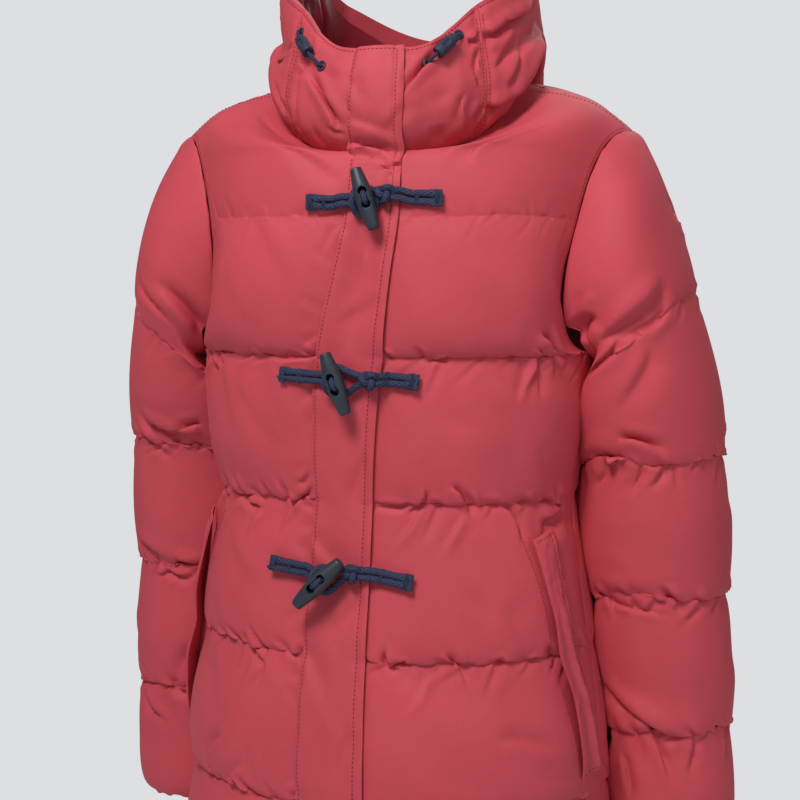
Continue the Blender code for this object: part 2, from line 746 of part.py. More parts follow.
def barrel_mesh(name, frame):
    """Tapered barrel along the frame's second axis, ends slightly domed."""
    verts, faces = [], []
    rings = [(-0.0250, 0.55), (-0.0244, 0.86), (-0.0225, 1.0)] + [(-0.0225 + 0.0045 * i, 1.0) for i in range(1, 11)]
    rings[-1:] = [(0.0225, 1.0), (0.0244, 0.86), (0.0250, 0.55)]
    sides = 20
    for b, share in rings:
        x = abs(b) / (TOGGLE_LENGTH / 2)
        r = (TOGGLE_MID_D + (TOGGLE_END_D - TOGGLE_MID_D) * x ** 1.7) / 2 * share
        for k in range(sides):
            w = 2 * math.pi * k / sides
            verts.append(frame @ Vector((r * math.cos(w), b, r * math.sin(w))))
    n = len(rings)
    for i in range(n - 1):
        for k in range(sides):
            m = (k + 1) % sides
            faces.append((i * sides + k, i * sides + m, (i + 1) * sides + m, (i + 1) * sides + k))
    faces.append(tuple(reversed(range(sides))))
    faces.append(tuple((n - 1) * sides + k for k in range(sides)))
    mesh = bpy.data.meshes.new(name)
    mesh.from_pydata([tuple(v) for v in verts], [], faces)
    return recalculated(mesh)


def recalculated(mesh):
    bm = bmesh.new()
    bm.from_mesh(mesh)
    bmesh.ops.recalc_face_normals(bm, faces=bm.faces)
    bm.to_mesh(mesh)
    bm.free()
    return mesh


def cutter(name, mesh):
    ob = bpy.data.objects.new(name, mesh)
    bpy.context.scene.collection.objects.link(ob)
    ob.hide_render = True
    ob.display_type = "WIRE"
    return ob


def cut(target, tool):
    m = target.modifiers.new(tool.name, "BOOLEAN")
    m.operation = "DIFFERENCE"
    m.solver = "EXACT"
    m.object = tool


def prism(name, outline, frame, low, high):
    """Straight prism of a closed outline in the frame's first two axes."""
    n = len(outline)
    verts = [tuple(frame @ Vector((x, y, low))) for x, y in outline]
    verts += [tuple(frame @ Vector((x, y, high))) for x, y in outline]
    faces = [tuple(reversed(range(n))), tuple(range(n, 2 * n))]
    faces += [(k, (k + 1) % n, n + (k + 1) % n, n + k) for k in range(n)]
    mesh = bpy.data.meshes.new(name)
    mesh.from_pydata(verts, [], faces)
    return recalculated(mesh)


def circle(x, y, r, sides=16):
    return [(x + r * math.cos(2 * math.pi * (k + 0.5) / sides),
             y + r * math.sin(2 * math.pi * (k + 0.5) / sides)) for k in range(sides)]


def frame_of(x_axis, y_axis, z_axis, origin):
    m = Matrix((x_axis, y_axis, z_axis)).transposed().to_4x4()
    m.translation = origin
    return m


def surface_frame(s, z, c):
    """Frame on the coat's front: first axis to the wearer's left, second up."""
    centre, normal = surface(s, z, c)
    across = Vector((0, 0, 1)).cross(normal).normalized()
    if across.x < 0:
        across = -across
    upward = normal.cross(across).normalized()
    if upward.z < 0:
        upward = -upward
    return centre, across, upward, normal


def cord_line(end, target, offset, low, count):
    """Straight run of a strand over the surface, offset to one side of its line."""
    run = Vector((target[0] - end[0], target[1] - end[1]))
    aside = Vector((-run.y, run.x)).normalized() * offset
    points = []
    for i in range(count):
        f = i / (count - 1)
        s = end[0] + run.x * f + aside.x
        z = end[1] + run.y * f + aside.y
        points.append(surface(s, z, low)[0])
    return points


R = CORD_D / 2
for number, (s0, z0), lean, height, cord_end, loop_end, wrap in TOGGLES:
    centre, across, upward, normal = surface_frame(s0, z0, height)
    b = math.radians(lean)
    axis = upward * math.cos(b) - across * math.sin(b)
    if normal.dot((axis.cross(normal)).cross(axis)) < 0:
        axis = -axis
    frame = frame_of(axis.cross(normal), axis, normal, centre)
    toggle = add_object("toggle_%d" % number, barrel_mesh("toggle_%d" % number, frame), TOGGLE)
    half = TOGGLE_HOLE_STEP / 2
    for k, y in enumerate((-half, half)):
        hole = prism("hole_%d_%d" % (number, k), circle(0, y, TOGGLE_HOLE_D / 2), frame, -0.02, 0.02)
        cut(toggle, cutter("hole_%d_%d" % (number, k), hole))
    w = TOGGLE_HOLE_D / 2 - 0.0001
    slot = prism("slot_%d" % number, [(-w, -half), (w, -half), (w, half), (-w, half)], frame, 0.0014, 0.02)
    cut(toggle, cutter("slot_%d" % number, slot))

    def near(x, y, c):
        """Point by the toggle: x and y in the surface's axes, c above the flap."""
        return centre + across * x + upward * y + normal * (c - height)

    hx, hy = -half * math.sin(b), half * math.cos(b)
    top = height + TOGGLE_MID_D / 2
    gap = R + 0.0002
    low = R + 0.0006
    run_in = cord_line(cord_end, (s0 - 0.014, z0), gap, low, 6)
    run_out = cord_line(cord_end, (s0 - 0.014, z0), -gap, low, 6)
    if abs(hx) > 0.003:
        first, second = (hx, hy), (-hx, -hy)
    else:
        first, second = (hx, hy), (-hx, -hy)
    up = [near(first[0] - 0.0052, first[1] * 0.9, low + 0.0001),
          near(first[0] - 0.0018, first[1] * 0.98, low + 0.0012),
          near(first[0], first[1], low + 0.0044),
          near(first[0], first[1], top - 0.0066),
          near(first[0] * 0.62, first[1] * 0.62, top - 0.0030),
          near(0, 0, top - 0.0024),
          near(second[0] * 0.62, second[1] * 0.62, top - 0.0030),
          near(second[0], second[1], top - 0.0066),
          near(second[0], second[1], low + 0.0044),
          near(second[0] - 0.0018, second[1] * 0.98, low + 0.0012),
          near(second[0] - 0.0052, second[1] * 0.9, low + 0.0001)]
    path = smooth_path(run_in + up + run_out[::-1], 2)
    tube("toggle_cord_%d" % number, path, R, CORD, 8)

    # the loop: from its sewn end through the wrap and round behind the barrel
    ws, wz = wrap
    over_low = 0.0064
    arms = []
    for sign in (1, -1):
        arm = cord_line(loop_end, (ws + 0.012, wz), -sign * gap, low, 5)
        aside = Vector((0, 0, 1)) * gap * sign
        arm += [surface(ws + 0.006, wz, over_low)[0] + aside,
                surface(ws, wz, over_low)[0] + aside,
                surface(ws - 0.006, wz, over_low)[0] + aside]
        arms.append(arm)
    reach = 0.0115
    bend = [near(0.5 * reach, 0.0088, low + 0.0016),
            near(-0.001, reach, low),
            near(-0.0086, 0.0106, low + 0.0014),
            near(-0.0124, 0.0036, low + 0.0073),
            near(-0.0124, -0.0036, low + 0.0073),
            near(-0.0080, -0.0102, low + 0.0028),
            near(-0.001, -reach, low),
            near(0.5 * reach, -0.0088, low + 0.0016)]
    path = smooth_path(arms[0] + bend + arms[1][::-1], 2)
    tube("loop_cord_%d" % number, path, R, CORD, 8)

    # the wrap that binds the loop's two strands
    wc, wa, wu, wn = surface_frame(ws, wz, over_low)
    verts, faces = [], []
    around, section = 20, 8
    for i in range(around):
        a = 2 * math.pi * i / around
        cx, cy = math.cos(a), math.sin(a)
        lift = gap if cy > 0 else -gap
        for k in range(section):
            e = 2 * math.pi * k / section
            r = R + 0.0007 + 0.0012 + 0.0011 * math.cos(e)
            verts.append(wc + wn * (r * cx) + wu * (r * cy + lift * min(1.0, abs(cy) * 3)) + wa * (0.0042 * math.sin(e)))
    for i in range(around):
        j = (i + 1) % around
        for k in range(section):
            m = (k + 1) % section
            faces.append((i * section + k, i * section + m, j * section + m, j * section + k))
    mesh = bpy.data.meshes.new("loop_wrap_%d" % number)
    mesh.from_pydata([tuple(v) for v in verts], [], faces)
    add_object("loop_wrap_%d" % number, recalculated(mesh), CORD)

# ------------------------------------------------------------ hood eyelets, cords and stoppers
# side, name, upper eyelet (w, k), lower eyelet (w, k)
HOOD_CORDS = [
    (1, "left", (38.0, 7.0), (24.5, 6.0)),
    (-1, "right", (-47.5, 6.6), (-28.0, 5.9)),
]
STOPPER_LENGTH = 0.020
STOPPER_D = 0.0092
for side, name, upper_eye, lower_eye in HOOD_CORDS:
    ends = []
    for label, (w, k) in (("upper", upper_eye), ("lower", lower_eye)):
        p = hood_point(w, k, 0.0)
        n = (hood_point(w, k, -0.001) - p).normalized()
        a1 = (hood_point(w, k + 0.2, 0.0) - p).normalized()
        a2 = n.cross(a1).normalized()
        a1 = a2.cross(n).normalized()
        verts, faces = [], []
        around, section = 16, 6
        for i in range(around):
            t = 2 * math.pi * i / around
            radial = a1 * math.cos(t) + a2 * math.sin(t)
            for m in range(section):
                e = 2 * math.pi * m / section
                verts.append(p + n * (0.00150 + 0.0007 * math.sin(e)) + radial * (0.0034 + 0.0011 * math.cos(e)))
        for i in range(around):
            j = (i + 1) % around
            for m in range(section):
                q = (m + 1) % section
                faces.append((i * section + m, i * section + q, j * section + q, j * section + m))
        mesh = bpy.data.meshes.new("eyelet")
        mesh.from_pydata([tuple(v) for v in verts], [], faces)
        add_object("eyelet_%s_%s" % (label, name), recalculated(mesh), RUBBER)
        ends.append((p + n * 0.0018, n))
    (p0, n0), (p1, n1) = ends
    middle = (p0 + p1) / 2 + (n0 + n1).normalized() * 0.0078
    along = (p1 - p0).normalized()
    out = (n0 + n1).normalized()
    out = (out - along * out.dot(along)).normalized()
    reach = STOPPER_LENGTH / 2 + 0.001
    path = smooth_path([p0, p0 + n0 * 0.003 + along * 0.0005, middle - along * reach,
                        middle, middle + along * reach, p1 + n1 * 0.003 - along * 0.0005, p1], 4)
    tube("hood_cord_%s" % name, path, HOOD_CORD_D / 2, CORD, 8)
    frame = frame_of(along.cross(out), out, along, middle)
    verts, faces = [], []
    sides = 16
    rings = [(-0.5, 0.45), (-0.47, 0.72), (-0.40, 0.93), (-0.30, 1.0), (0.30, 1.0),
             (0.40, 0.97), (0.47, 0.90), (0.5, 0.78)]
    for x, share in rings:
        for m in range(sides):
            t = 2 * math.pi * m / sides
            verts.append(frame @ Vector((STOPPER_D / 2 * share * math.cos(t) * 1.1,
                                         STOPPER_D / 2 * share * math.sin(t), x * STOPPER_LENGTH)))
    for i in range(len(rings) - 1):
        for m in range(sides):
            q = (m + 1) % sides
            faces.append((i * sides + m, i * sides + q, (i + 1) * sides + q, (i + 1) * sides + m))
    faces.append(tuple(reversed(range(sides))))
    faces.append(tuple((len(rings) - 1) * sides + m for m in range(sides)))
    mesh = bpy.data.meshes.new("cord_stopper_%s" % name)
    mesh.from_pydata([tuple(v) for v in verts], [], faces)
    stopper = add_object("cord_stopper_%s" % name, recalculated(mesh), RUBBER)
    bore = prism("bore_%s" % name, circle(0, 0, HOOD_CORD_D / 2 + 0.0006), frame, -0.02, 0.02)
    cut(stopper, cutter("bore_%s" % name, bore))
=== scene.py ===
"""Padded hooded toggle coat: its looks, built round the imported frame.

Metres, +Z up, the front faces -Y and +X is the wearer's left.
"""
import json
import math

import bpy
import bmesh
import numpy as np
from mathutils import Matrix, Vector
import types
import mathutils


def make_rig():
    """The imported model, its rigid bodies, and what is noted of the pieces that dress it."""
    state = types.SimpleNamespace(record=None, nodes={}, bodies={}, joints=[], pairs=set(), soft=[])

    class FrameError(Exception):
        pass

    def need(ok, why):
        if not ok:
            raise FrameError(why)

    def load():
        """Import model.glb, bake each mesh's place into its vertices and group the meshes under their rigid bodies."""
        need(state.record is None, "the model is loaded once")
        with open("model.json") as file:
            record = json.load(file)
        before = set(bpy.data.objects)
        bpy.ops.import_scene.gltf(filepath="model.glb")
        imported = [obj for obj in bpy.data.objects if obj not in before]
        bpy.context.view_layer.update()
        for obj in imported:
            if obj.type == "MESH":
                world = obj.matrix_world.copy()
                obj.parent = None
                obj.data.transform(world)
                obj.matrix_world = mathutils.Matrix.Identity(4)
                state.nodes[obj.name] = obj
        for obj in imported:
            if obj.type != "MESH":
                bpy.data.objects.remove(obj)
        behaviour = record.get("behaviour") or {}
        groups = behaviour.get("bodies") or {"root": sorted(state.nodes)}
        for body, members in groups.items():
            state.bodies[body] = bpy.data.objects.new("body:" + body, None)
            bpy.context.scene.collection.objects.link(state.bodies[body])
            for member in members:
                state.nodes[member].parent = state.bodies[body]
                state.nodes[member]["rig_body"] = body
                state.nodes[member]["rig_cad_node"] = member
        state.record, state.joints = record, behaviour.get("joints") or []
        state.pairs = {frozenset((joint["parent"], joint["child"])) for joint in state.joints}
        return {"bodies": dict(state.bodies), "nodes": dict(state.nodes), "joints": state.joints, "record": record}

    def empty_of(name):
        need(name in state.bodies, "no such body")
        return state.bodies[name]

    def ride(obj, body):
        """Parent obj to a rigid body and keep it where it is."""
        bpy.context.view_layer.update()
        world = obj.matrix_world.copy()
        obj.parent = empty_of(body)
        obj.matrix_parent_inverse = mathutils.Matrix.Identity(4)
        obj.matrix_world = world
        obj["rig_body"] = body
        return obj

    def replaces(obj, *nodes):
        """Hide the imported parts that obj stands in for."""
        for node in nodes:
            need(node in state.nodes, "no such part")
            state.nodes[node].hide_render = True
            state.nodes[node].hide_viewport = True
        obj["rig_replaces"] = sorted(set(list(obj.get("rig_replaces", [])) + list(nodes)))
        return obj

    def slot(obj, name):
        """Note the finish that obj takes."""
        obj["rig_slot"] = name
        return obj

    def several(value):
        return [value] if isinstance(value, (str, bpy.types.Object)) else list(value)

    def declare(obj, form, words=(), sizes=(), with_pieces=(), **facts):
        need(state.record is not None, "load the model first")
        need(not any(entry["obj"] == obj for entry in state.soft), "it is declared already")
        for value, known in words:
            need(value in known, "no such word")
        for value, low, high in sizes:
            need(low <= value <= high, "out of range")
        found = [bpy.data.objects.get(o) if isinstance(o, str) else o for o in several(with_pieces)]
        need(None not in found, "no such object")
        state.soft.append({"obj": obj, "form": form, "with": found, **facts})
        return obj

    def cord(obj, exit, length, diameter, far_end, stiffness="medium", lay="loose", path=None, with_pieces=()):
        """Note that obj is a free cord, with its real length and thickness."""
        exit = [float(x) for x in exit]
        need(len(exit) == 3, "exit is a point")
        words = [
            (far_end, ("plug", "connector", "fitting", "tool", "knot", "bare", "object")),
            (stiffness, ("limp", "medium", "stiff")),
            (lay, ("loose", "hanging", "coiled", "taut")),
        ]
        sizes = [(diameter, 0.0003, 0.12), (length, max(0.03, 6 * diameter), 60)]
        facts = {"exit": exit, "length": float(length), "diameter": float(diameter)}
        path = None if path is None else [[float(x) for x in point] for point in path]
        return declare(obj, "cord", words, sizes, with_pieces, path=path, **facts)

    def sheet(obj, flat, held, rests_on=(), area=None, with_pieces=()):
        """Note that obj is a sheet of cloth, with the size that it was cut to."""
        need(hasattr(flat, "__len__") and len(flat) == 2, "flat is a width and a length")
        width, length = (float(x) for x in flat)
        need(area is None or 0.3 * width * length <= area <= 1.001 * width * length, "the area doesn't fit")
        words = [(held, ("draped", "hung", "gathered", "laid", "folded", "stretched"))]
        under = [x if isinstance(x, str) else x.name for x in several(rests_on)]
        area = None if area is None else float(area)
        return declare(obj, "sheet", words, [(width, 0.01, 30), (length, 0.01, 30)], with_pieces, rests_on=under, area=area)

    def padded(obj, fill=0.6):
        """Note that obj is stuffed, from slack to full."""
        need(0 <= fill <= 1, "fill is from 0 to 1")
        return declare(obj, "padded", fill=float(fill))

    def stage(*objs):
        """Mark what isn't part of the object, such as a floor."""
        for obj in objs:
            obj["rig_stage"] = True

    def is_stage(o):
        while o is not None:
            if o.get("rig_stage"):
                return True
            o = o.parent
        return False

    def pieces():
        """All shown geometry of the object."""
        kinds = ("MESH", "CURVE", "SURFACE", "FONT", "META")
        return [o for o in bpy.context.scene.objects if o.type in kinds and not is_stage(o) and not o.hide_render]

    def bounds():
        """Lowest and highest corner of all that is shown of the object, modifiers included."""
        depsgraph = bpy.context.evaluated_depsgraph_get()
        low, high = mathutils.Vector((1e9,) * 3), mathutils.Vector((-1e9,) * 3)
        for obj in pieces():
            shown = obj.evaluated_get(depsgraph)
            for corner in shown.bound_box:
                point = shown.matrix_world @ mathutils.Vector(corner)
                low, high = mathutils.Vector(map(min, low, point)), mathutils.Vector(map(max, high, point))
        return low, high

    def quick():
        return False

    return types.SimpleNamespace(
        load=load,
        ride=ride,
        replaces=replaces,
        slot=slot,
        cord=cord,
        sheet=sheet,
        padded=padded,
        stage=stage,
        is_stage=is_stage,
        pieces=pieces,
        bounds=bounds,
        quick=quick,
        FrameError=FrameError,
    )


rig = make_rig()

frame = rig.load()
cad_low, cad_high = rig.bounds()
bpy.ops.object.select_all(action="DESELECT")

# ---------------------------------------------------------------- studio
# The coat hangs in its worn place before a pale wall and over a pale floor,
# in soft light from the upper left, a weaker one from the right, and one behind.
VIEW_TURN = math.radians(17.0)
VIEW_DISTANCE = 1.4
VIEW_HEIGHT = -0.145
VIEW_WIDTH = 0.6784
SENSOR = 36.0
PALE = "#DEDFE2"
FLOOR_Z = -1.15
# place, size, power
LAMPS = [((-0.20, -1.55, 1.35), 0.65, 38.0), ((1.6, -1.1, 0.5), 1.4, 5.0), ((0.3, 1.6, 1.2), 1.4, 12.0)]


def linear(code):
    """Linear colour, with full cover, of an sRGB hex value."""
    parts = [int(code[k:k + 2], 16) / 255 for k in (1, 3, 5)]
    return (*[c / 12.92 if c <= 0.04045 else ((c + 0.055) / 1.055) ** 2.4 for c in parts], 1)


def add_node(tree, kind, settings=None, feeds=None, **links):
    """Adds a node; settings name its properties, its sockets or its two tones.

    links bring outputs, or whole nodes' first outputs, to its sockets; its own goes to feeds.
    """
    node = tree.nodes.new(kind)
    for key, value in (settings or {}).items():
        if key == "tones":
            for stop, code in zip(node.color_ramp.elements, value):
                stop.color = linear(code)
        elif isinstance(key, str) and hasattr(node, key):
            setattr(node, key, value)
        else:
            node.inputs[key].default_value = value
    for key, source in links.items():
        name = key.replace("_", " ")
        socket = node.inputs[int(name[1:])] if name[0] == "i" and name[1:].isdigit() else node.inputs[name]
        tree.links.new(getattr(source, "outputs", [source])[0], socket)
    if feeds:
        tree.links.new(node.outputs[0], feeds)
    return node


def new_material(name, settings):
    """Material whose shader has these plain settings, with its node tree and that shader."""
    made = bpy.data.materials.new(name)
    made.use_nodes = True
    shader = made.node_tree.nodes["Principled BSDF"]
    for socket, value in settings.items():
        shader.inputs[socket].default_value = value
    return made, made.node_tree, shader


bpy.ops.object.camera_add(
    location=(VIEW_DISTANCE * math.sin(VIEW_TURN), -VIEW_DISTANCE * math.cos(VIEW_TURN), VIEW_HEIGHT),
    rotation=(math.pi / 2, 0, VIEW_TURN))
camera = bpy.context.object
camera.data.sensor_fit = "HORIZONTAL"
camera.data.sensor_width = SENSOR
camera.data.lens = SENSOR * VIEW_DISTANCE / VIEW_WIDTH
camera.data.shift_x = 0.0025
camera.data.shift_y = -0.1875
bpy.context.scene.camera = camera
bpy.context.scene.view_settings.view_transform = "Standard"

for place, size, power in LAMPS:
    bpy.ops.object.light_add(type="AREA", location=place)
    lamp = bpy.context.object
    lamp.data.size = size
    lamp.data.energy = power
    lamp.rotation_euler = (Vector((0, 0, -0.3)) - Vector(place)).to_track_quat("-Z", "Y").to_euler()

world = bpy.data.worlds.new("pale studio")
bpy.context.scene.world = world
world.use_nodes = True
backdrop = world.node_tree.nodes["Background"]
backdrop.inputs["Color"].default_value = linear(PALE)
seen = add_node(world.node_tree, "ShaderNodeLightPath")
add_node(world.node_tree, "ShaderNodeMapRange", {"To Min": 0.30, "To Max": 1.0},
         backdrop.inputs["Strength"], Value=seen.outputs["Is Camera Ray"])

bpy.ops.mesh.primitive_circle_add(vertices=96, radius=40.0, fill_type="NGON", location=(0, 0, FLOOR_Z))
floor = bpy.context.object
floor.name = "floor"
paper, tree, shader = new_material("matte paper floor", {"Base Color": linear("#F4F4F5"), "Roughness": 0.9})
seen = add_node(tree, "ShaderNodeLightPath")
plain = add_node(tree, "ShaderNodeEmission", {"Color": linear(PALE)})
add_node(tree, "ShaderNodeMixShader", None, tree.nodes["Material Output"].inputs["Surface"],
         Fac=seen.outputs["Is Camera Ray"], i1=shader, i2=plain)
floor.data.materials.append(paper)
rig.stage(floor)

# ------------------------------------------------- quilted fronts and back
# Two fronts and a one-piece back of plain-woven polyester over soft padding and
# a satin inside, stitched through in level lines about 11 cm apart. The sewing
# draws the cloth up, so each channel puckers away from its lines.
SEAM_GAP = 0.0004
BODY_PUFF = 0.0125
QUILT_Z = [-0.119, -0.228, -0.3425, -0.462, -0.575, -0.688, -0.800]
ARMPIT_Z = QUILT_Z[1]
NECK_HALF, NECK_FRONT, NECK_BACK = 0.092, 0.106, 0.062
NECK_FRONT_Z, NECK_BACK_Z = -0.067, 0.012
# shares of the way up from the armpit at which the centre front and back meet the neck
FRONT_NECK_AT, BACK_NECK_AT = 0.4995, 0.7985
# z, half width, front depth, back depth, turn (deg), lean; from the hem up
BODY_ROWS = [
    (-0.800, 0.193, 0.142, 0.130, -6.0, 0.000), (-0.688, 0.186, 0.140, 0.128, -6.0, 0.000),
    (-0.575, 0.178, 0.137, 0.125, -6.0, 0.000), (-0.520, 0.175, 0.133, 0.120, -6.2, 0.000),
    (-0.462, 0.168, 0.126, 0.110, -6.3, 0.000), (-0.400, 0.159, 0.116, 0.098, -5.8, 0.000),
    (-0.3425, 0.153, 0.113, 0.093, -5.0, 0.000), (-0.300, 0.159, 0.117, 0.097, -4.0, 0.000),
    (-0.228, 0.169, 0.123, 0.102, -1.5, 0.001), (-0.165, 0.168, 0.122, 0.100, 2.0, 0.004),
    (-0.119, 0.167, 0.120, 0.098, 4.5, 0.006), (-0.060, 0.160, 0.106, 0.088, 5.0, 0.006),
]
UPPER_STEPS = [(0.0, 0.0), (0.14, 0.62), (0.38, 0.97), (0.62, 0.97), (0.86, 0.62)]
LOWER_STEPS = [(0.0, 0.0), (0.25, 0.86), (0.75, 0.86)]
TOP_PLACES = [0.0, 0.10, 0.20, 0.31, 0.46, 0.62, 0.77, 0.89]
TOP_PUFFS = [0.0, 0.5, 0.8, 0.95, 1.0, 0.95, 0.8, 0.55]
PUFF_ROWS = list(zip(TOP_PLACES, TOP_PUFFS)) + [(1 + v, h) for v, h in UPPER_STEPS]
PUFF_ROWS += [(k + v, h) for k in range(2, 7) for v, h in LOWER_STEPS] + [(7.0, 0.0)]
BODY_STEPS = 23
FRONT_COLS = 72
BACK_HALF = 46


def spline(x, xs, ys):
    """Smooth curve through a short table, flat outside it."""
    if x <= xs[0]:
        return ys[0]
    if x >= xs[-1]:
        return ys[-1]
    i = 0
    while x > xs[i + 1]:
        i += 1

    def slope(k):
        lo, hi = max(k - 1, 0), min(k + 1, len(xs) - 1)
        return (ys[hi] - ys[lo]) / (xs[hi] - xs[lo])

    h = xs[i + 1] - xs[i]
    t = (x - xs[i]) / h
    a = ys[i] * (1 + 2 * t) * (1 - t) ** 2 + slope(i) * h * t * (1 - t) ** 2
    b = ys[i + 1] * t * t * (3 - 2 * t) + slope(i + 1) * h * t * t * (t - 1)
    return a + b


def column(rows, x, k):
    """Value k of a table of rows at x, smooth between its rows."""
    return spline(x, [r[0] for r in rows], [r[k] for r in rows])


def body(z, k):
    return column(BODY_ROWS, z, k)


def smooth(x, lo, hi):
    t = max(0.0, min(1.0, (x - lo) / (hi - lo)))
    return t * t * (3 - 2 * t)


def turned(p):
    """The slight twist of the worn coat: each height turned about the body axis."""
    a = math.radians(body(p.z, 4))
    c, s = math.cos(a), math.sin(a)
    return Vector((p.x * c - p.y * s + body(p.z, 5), p.x * s + p.y * c, p.z))


def inward(p):
    """Unit direction from a body surface point to the inside of the coat."""
    k = smooth(p.z, ARMPIT_Z, -0.05)
    target = Vector((0.80 * k * p.x, 0.0, p.z - 0.12 * k))
    return (target - p).normalized()


def neckline(w):
    """Neck seam at angle w (deg) from centre front, + towards the wearer's left."""
    c, s = math.cos(math.radians(w)), math.sin(math.radians(w))
    if c > 0:
        return Vector((NECK_HALF * s, -NECK_FRONT * c, NECK_FRONT_Z + 0.067 * (1 - c) ** 1.8))
    return Vector((NECK_HALF * s, -NECK_BACK * c, NECK_BACK_Z * c ** 2))


def armhole(side, tau, front):
    """Armhole seam, tau 0 at the armpit to 1 at the shoulder point."""
    a = math.pi * tau
    ry = -0.062 if front else 0.060
    cut_in = 0.030 if front else 0.014
    bow = max(0.0, math.sin(a)) ** 0.8
    x = 0.169 + 0.023 * (1 - math.cos(a)) / 2 - cut_in * bow
    z = -0.1375 - 0.0905 * math.cos(a)
    return Vector((side * x, 0.003 + ry * bow, z))


def centre_edge(t, front):
    """Centre front or back and its neck seam, t 0 at armpit level to 1 at the neck point."""
    if front and t <= FRONT_NECK_AT:
        z = spline(t, [0, 0.35, FRONT_NECK_AT], [ARMPIT_Z, QUILT_Z[0], NECK_FRONT_Z])
        return Vector((0.0, -body(z, 2), z))
    if front:
        return neckline(90.0 * (t - FRONT_NECK_AT) / (1 - FRONT_NECK_AT))
    if t <= BACK_NECK_AT:
        z = spline(t, [0, 0.35, BACK_NECK_AT], [ARMPIT_Z, QUILT_Z[0], NECK_BACK_Z])
        y = spline(z, [ARMPIT_Z, QUILT_Z[0], -0.067, -0.03, NECK_BACK_Z], [0.102, 0.098, 0.089, 0.078, NECK_BACK])
        return Vector((0.0, y, z))
    return neckline(180.0 - 90.0 * (t - BACK_NECK_AT) / (1 - BACK_NECK_AT))


def rise_of(q):
    return 1 - q * 0.65 if q <= 1 else 0.35 * (2 - q)


def row_at(z):
    """Row place of a height below the armpit."""
    k = 1
    while k < 5 and z < QUILT_Z[k + 1]:
        k += 1
    return k + 1 + (QUILT_Z[k] - z) / (QUILT_Z[k] - QUILT_Z[k + 1])


def seam_point(side, u, q, front):
    """Seam-level point of a body panel: u from centre to side, q down the rows."""
    a = math.pi / 2 * u
    if q >= 2.0:
        z = spline(q, [2, 3, 4, 5, 6, 7], QUILT_Z[1:])
        depth = -body(z, 2) if front else body(z, 3)
        return Vector((side * body(z, 1) * math.sin(a), depth * math.cos(a), z))
    t = rise_of(q)
    start = centre_edge(t, front)
    start.x *= side
    end = armhole(side, spline(t, [0, 0.35, 1.0], [0, 0.551, 1.0]), front)
    depth = -body(ARMPIT_Z, 2) if front else body(ARMPIT_Z, 3)
    base = Vector((0, depth, 0)).lerp(Vector((body(ARMPIT_Z, 1), 0, 0)), u)
    bow = Vector((body(ARMPIT_Z, 1) * math.sin(a), depth * math.cos(a), 0)) - base
    return start.lerp(end, u) + Vector((side * bow.x * (1 - t) ** 1.5, bow.y * (1 - t) ** 0.5,
                                        0.015 * t * u * math.sin(math.pi * u)))


def flat_side(u, q):
    """Channels are pressed flatter where the sleeves lie against them."""
    return 1.0 if q < 1.5 else 1.0 - 0.60 * smooth(u, 0.66, 0.88)


NECK_POINTS = np.array([neckline(3.0 * k) for k in range(61)])


def puff_share(q):
    return float(np.interp(q, [r[0] for r in PUFF_ROWS], [r[1] for r in PUFF_ROWS]))


def puff_amount(u, q, h, p, front):
    """How far the quilted face stands out of the seam level at p."""
    fade = smooth(1 - u, 0.0, 0.12) * flat_side(u, q)
    if front:
        fade *= smooth(u, 0.0, 0.26)
    if q < 1.2:
        at = np.array((abs(p.x), p.y, p.z))
        near = float(np.sqrt(((NECK_POINTS - at) ** 2).sum(axis=1)).min())
        fade *= smooth(near, 0.001, 0.036)
    return BODY_PUFF * h * fade


def roll(within):
    """Height of a channel's face, 0 to 1 across it: fullest low down, where the padding settles."""
    return math.sin(math.pi * within ** 1.7) ** 0.64 if 0 < within < 1 else 0.0


def step_places(channels):
    """Row places of a panel's grid; the steps lie closer towards its sewn lines."""
    shares = [k / BODY_STEPS - 0.68 * math.sin(2 * math.pi * k / BODY_STEPS) / (2 * math.pi)
              for k in range(BODY_STEPS)]
    return [k + share for k in range(channels) for share in shares] + [float(channels)]


panels = []


def add_panel(name, channels, strips, skin, closed=False):
    """Works out a panel's grid: seam level, the way out of the coat, how far it may stand.

    strips are its runs of columns; skin gives the three at a place down it and a column.
    """
    places = step_places(channels)
    shape = len(places), strips[-1][1]
    seams, outs, limits = np.zeros((*shape, 3)), np.zeros((*shape, 3)), np.zeros(shape)
    for i, j in np.ndindex(shape):
        seams[i, j], outs[i, j], limits[i, j] = skin(places[i], j)
    panels.append({"name": name, "seams": seams, "outs": outs, "limits": limits, "closed": closed,
                   "lines": [k * BODY_STEPS for k in range(channels + 1)], "strips": strips})


def body_skin(side, u, q, front):
    """Seam point, outward direction and full puff of a body panel, twisted as worn."""
    p = seam_point(side, u, q, front)
    d = inward(p)
    ahead = -1 if front else 1
    if u == 0.0 and front:
        p = p + Vector((side * SEAM_GAP, 0, 0))
    if u == 1.0:
        p = p + (Vector((-side * SEAM_GAP, 0, 0)) if q < 2 else Vector((0, ahead * SEAM_GAP / 2, 0)))
    if q == 0.0:
        p = p + Vector((0, ahead * SEAM_GAP / 2, 0))
    plump = puff_share(q) if q < 1 else roll(q - math.floor(q))
    # the cloth lies flatter where it is eased into the armhole
    eased = 1.0 if q >= 2 else 1 - (1 - smooth(1 - u, 0.0, 0.34)) * smooth(2 - q, 0.0, 0.5) * 0.9
    out = (turned(p - d * 0.01) - turned(p)).normalized()
    return turned(p), out, puff_amount(u, q, plump, p, front) * eased


def back_skin(q, j):
    u = -1 + j / BACK_HALF if j <= BACK_HALF else (j - BACK_HALF - 1) / BACK_HALF
    return body_skin(-1 if j <= BACK_HALF else 1, abs(u), q, False)


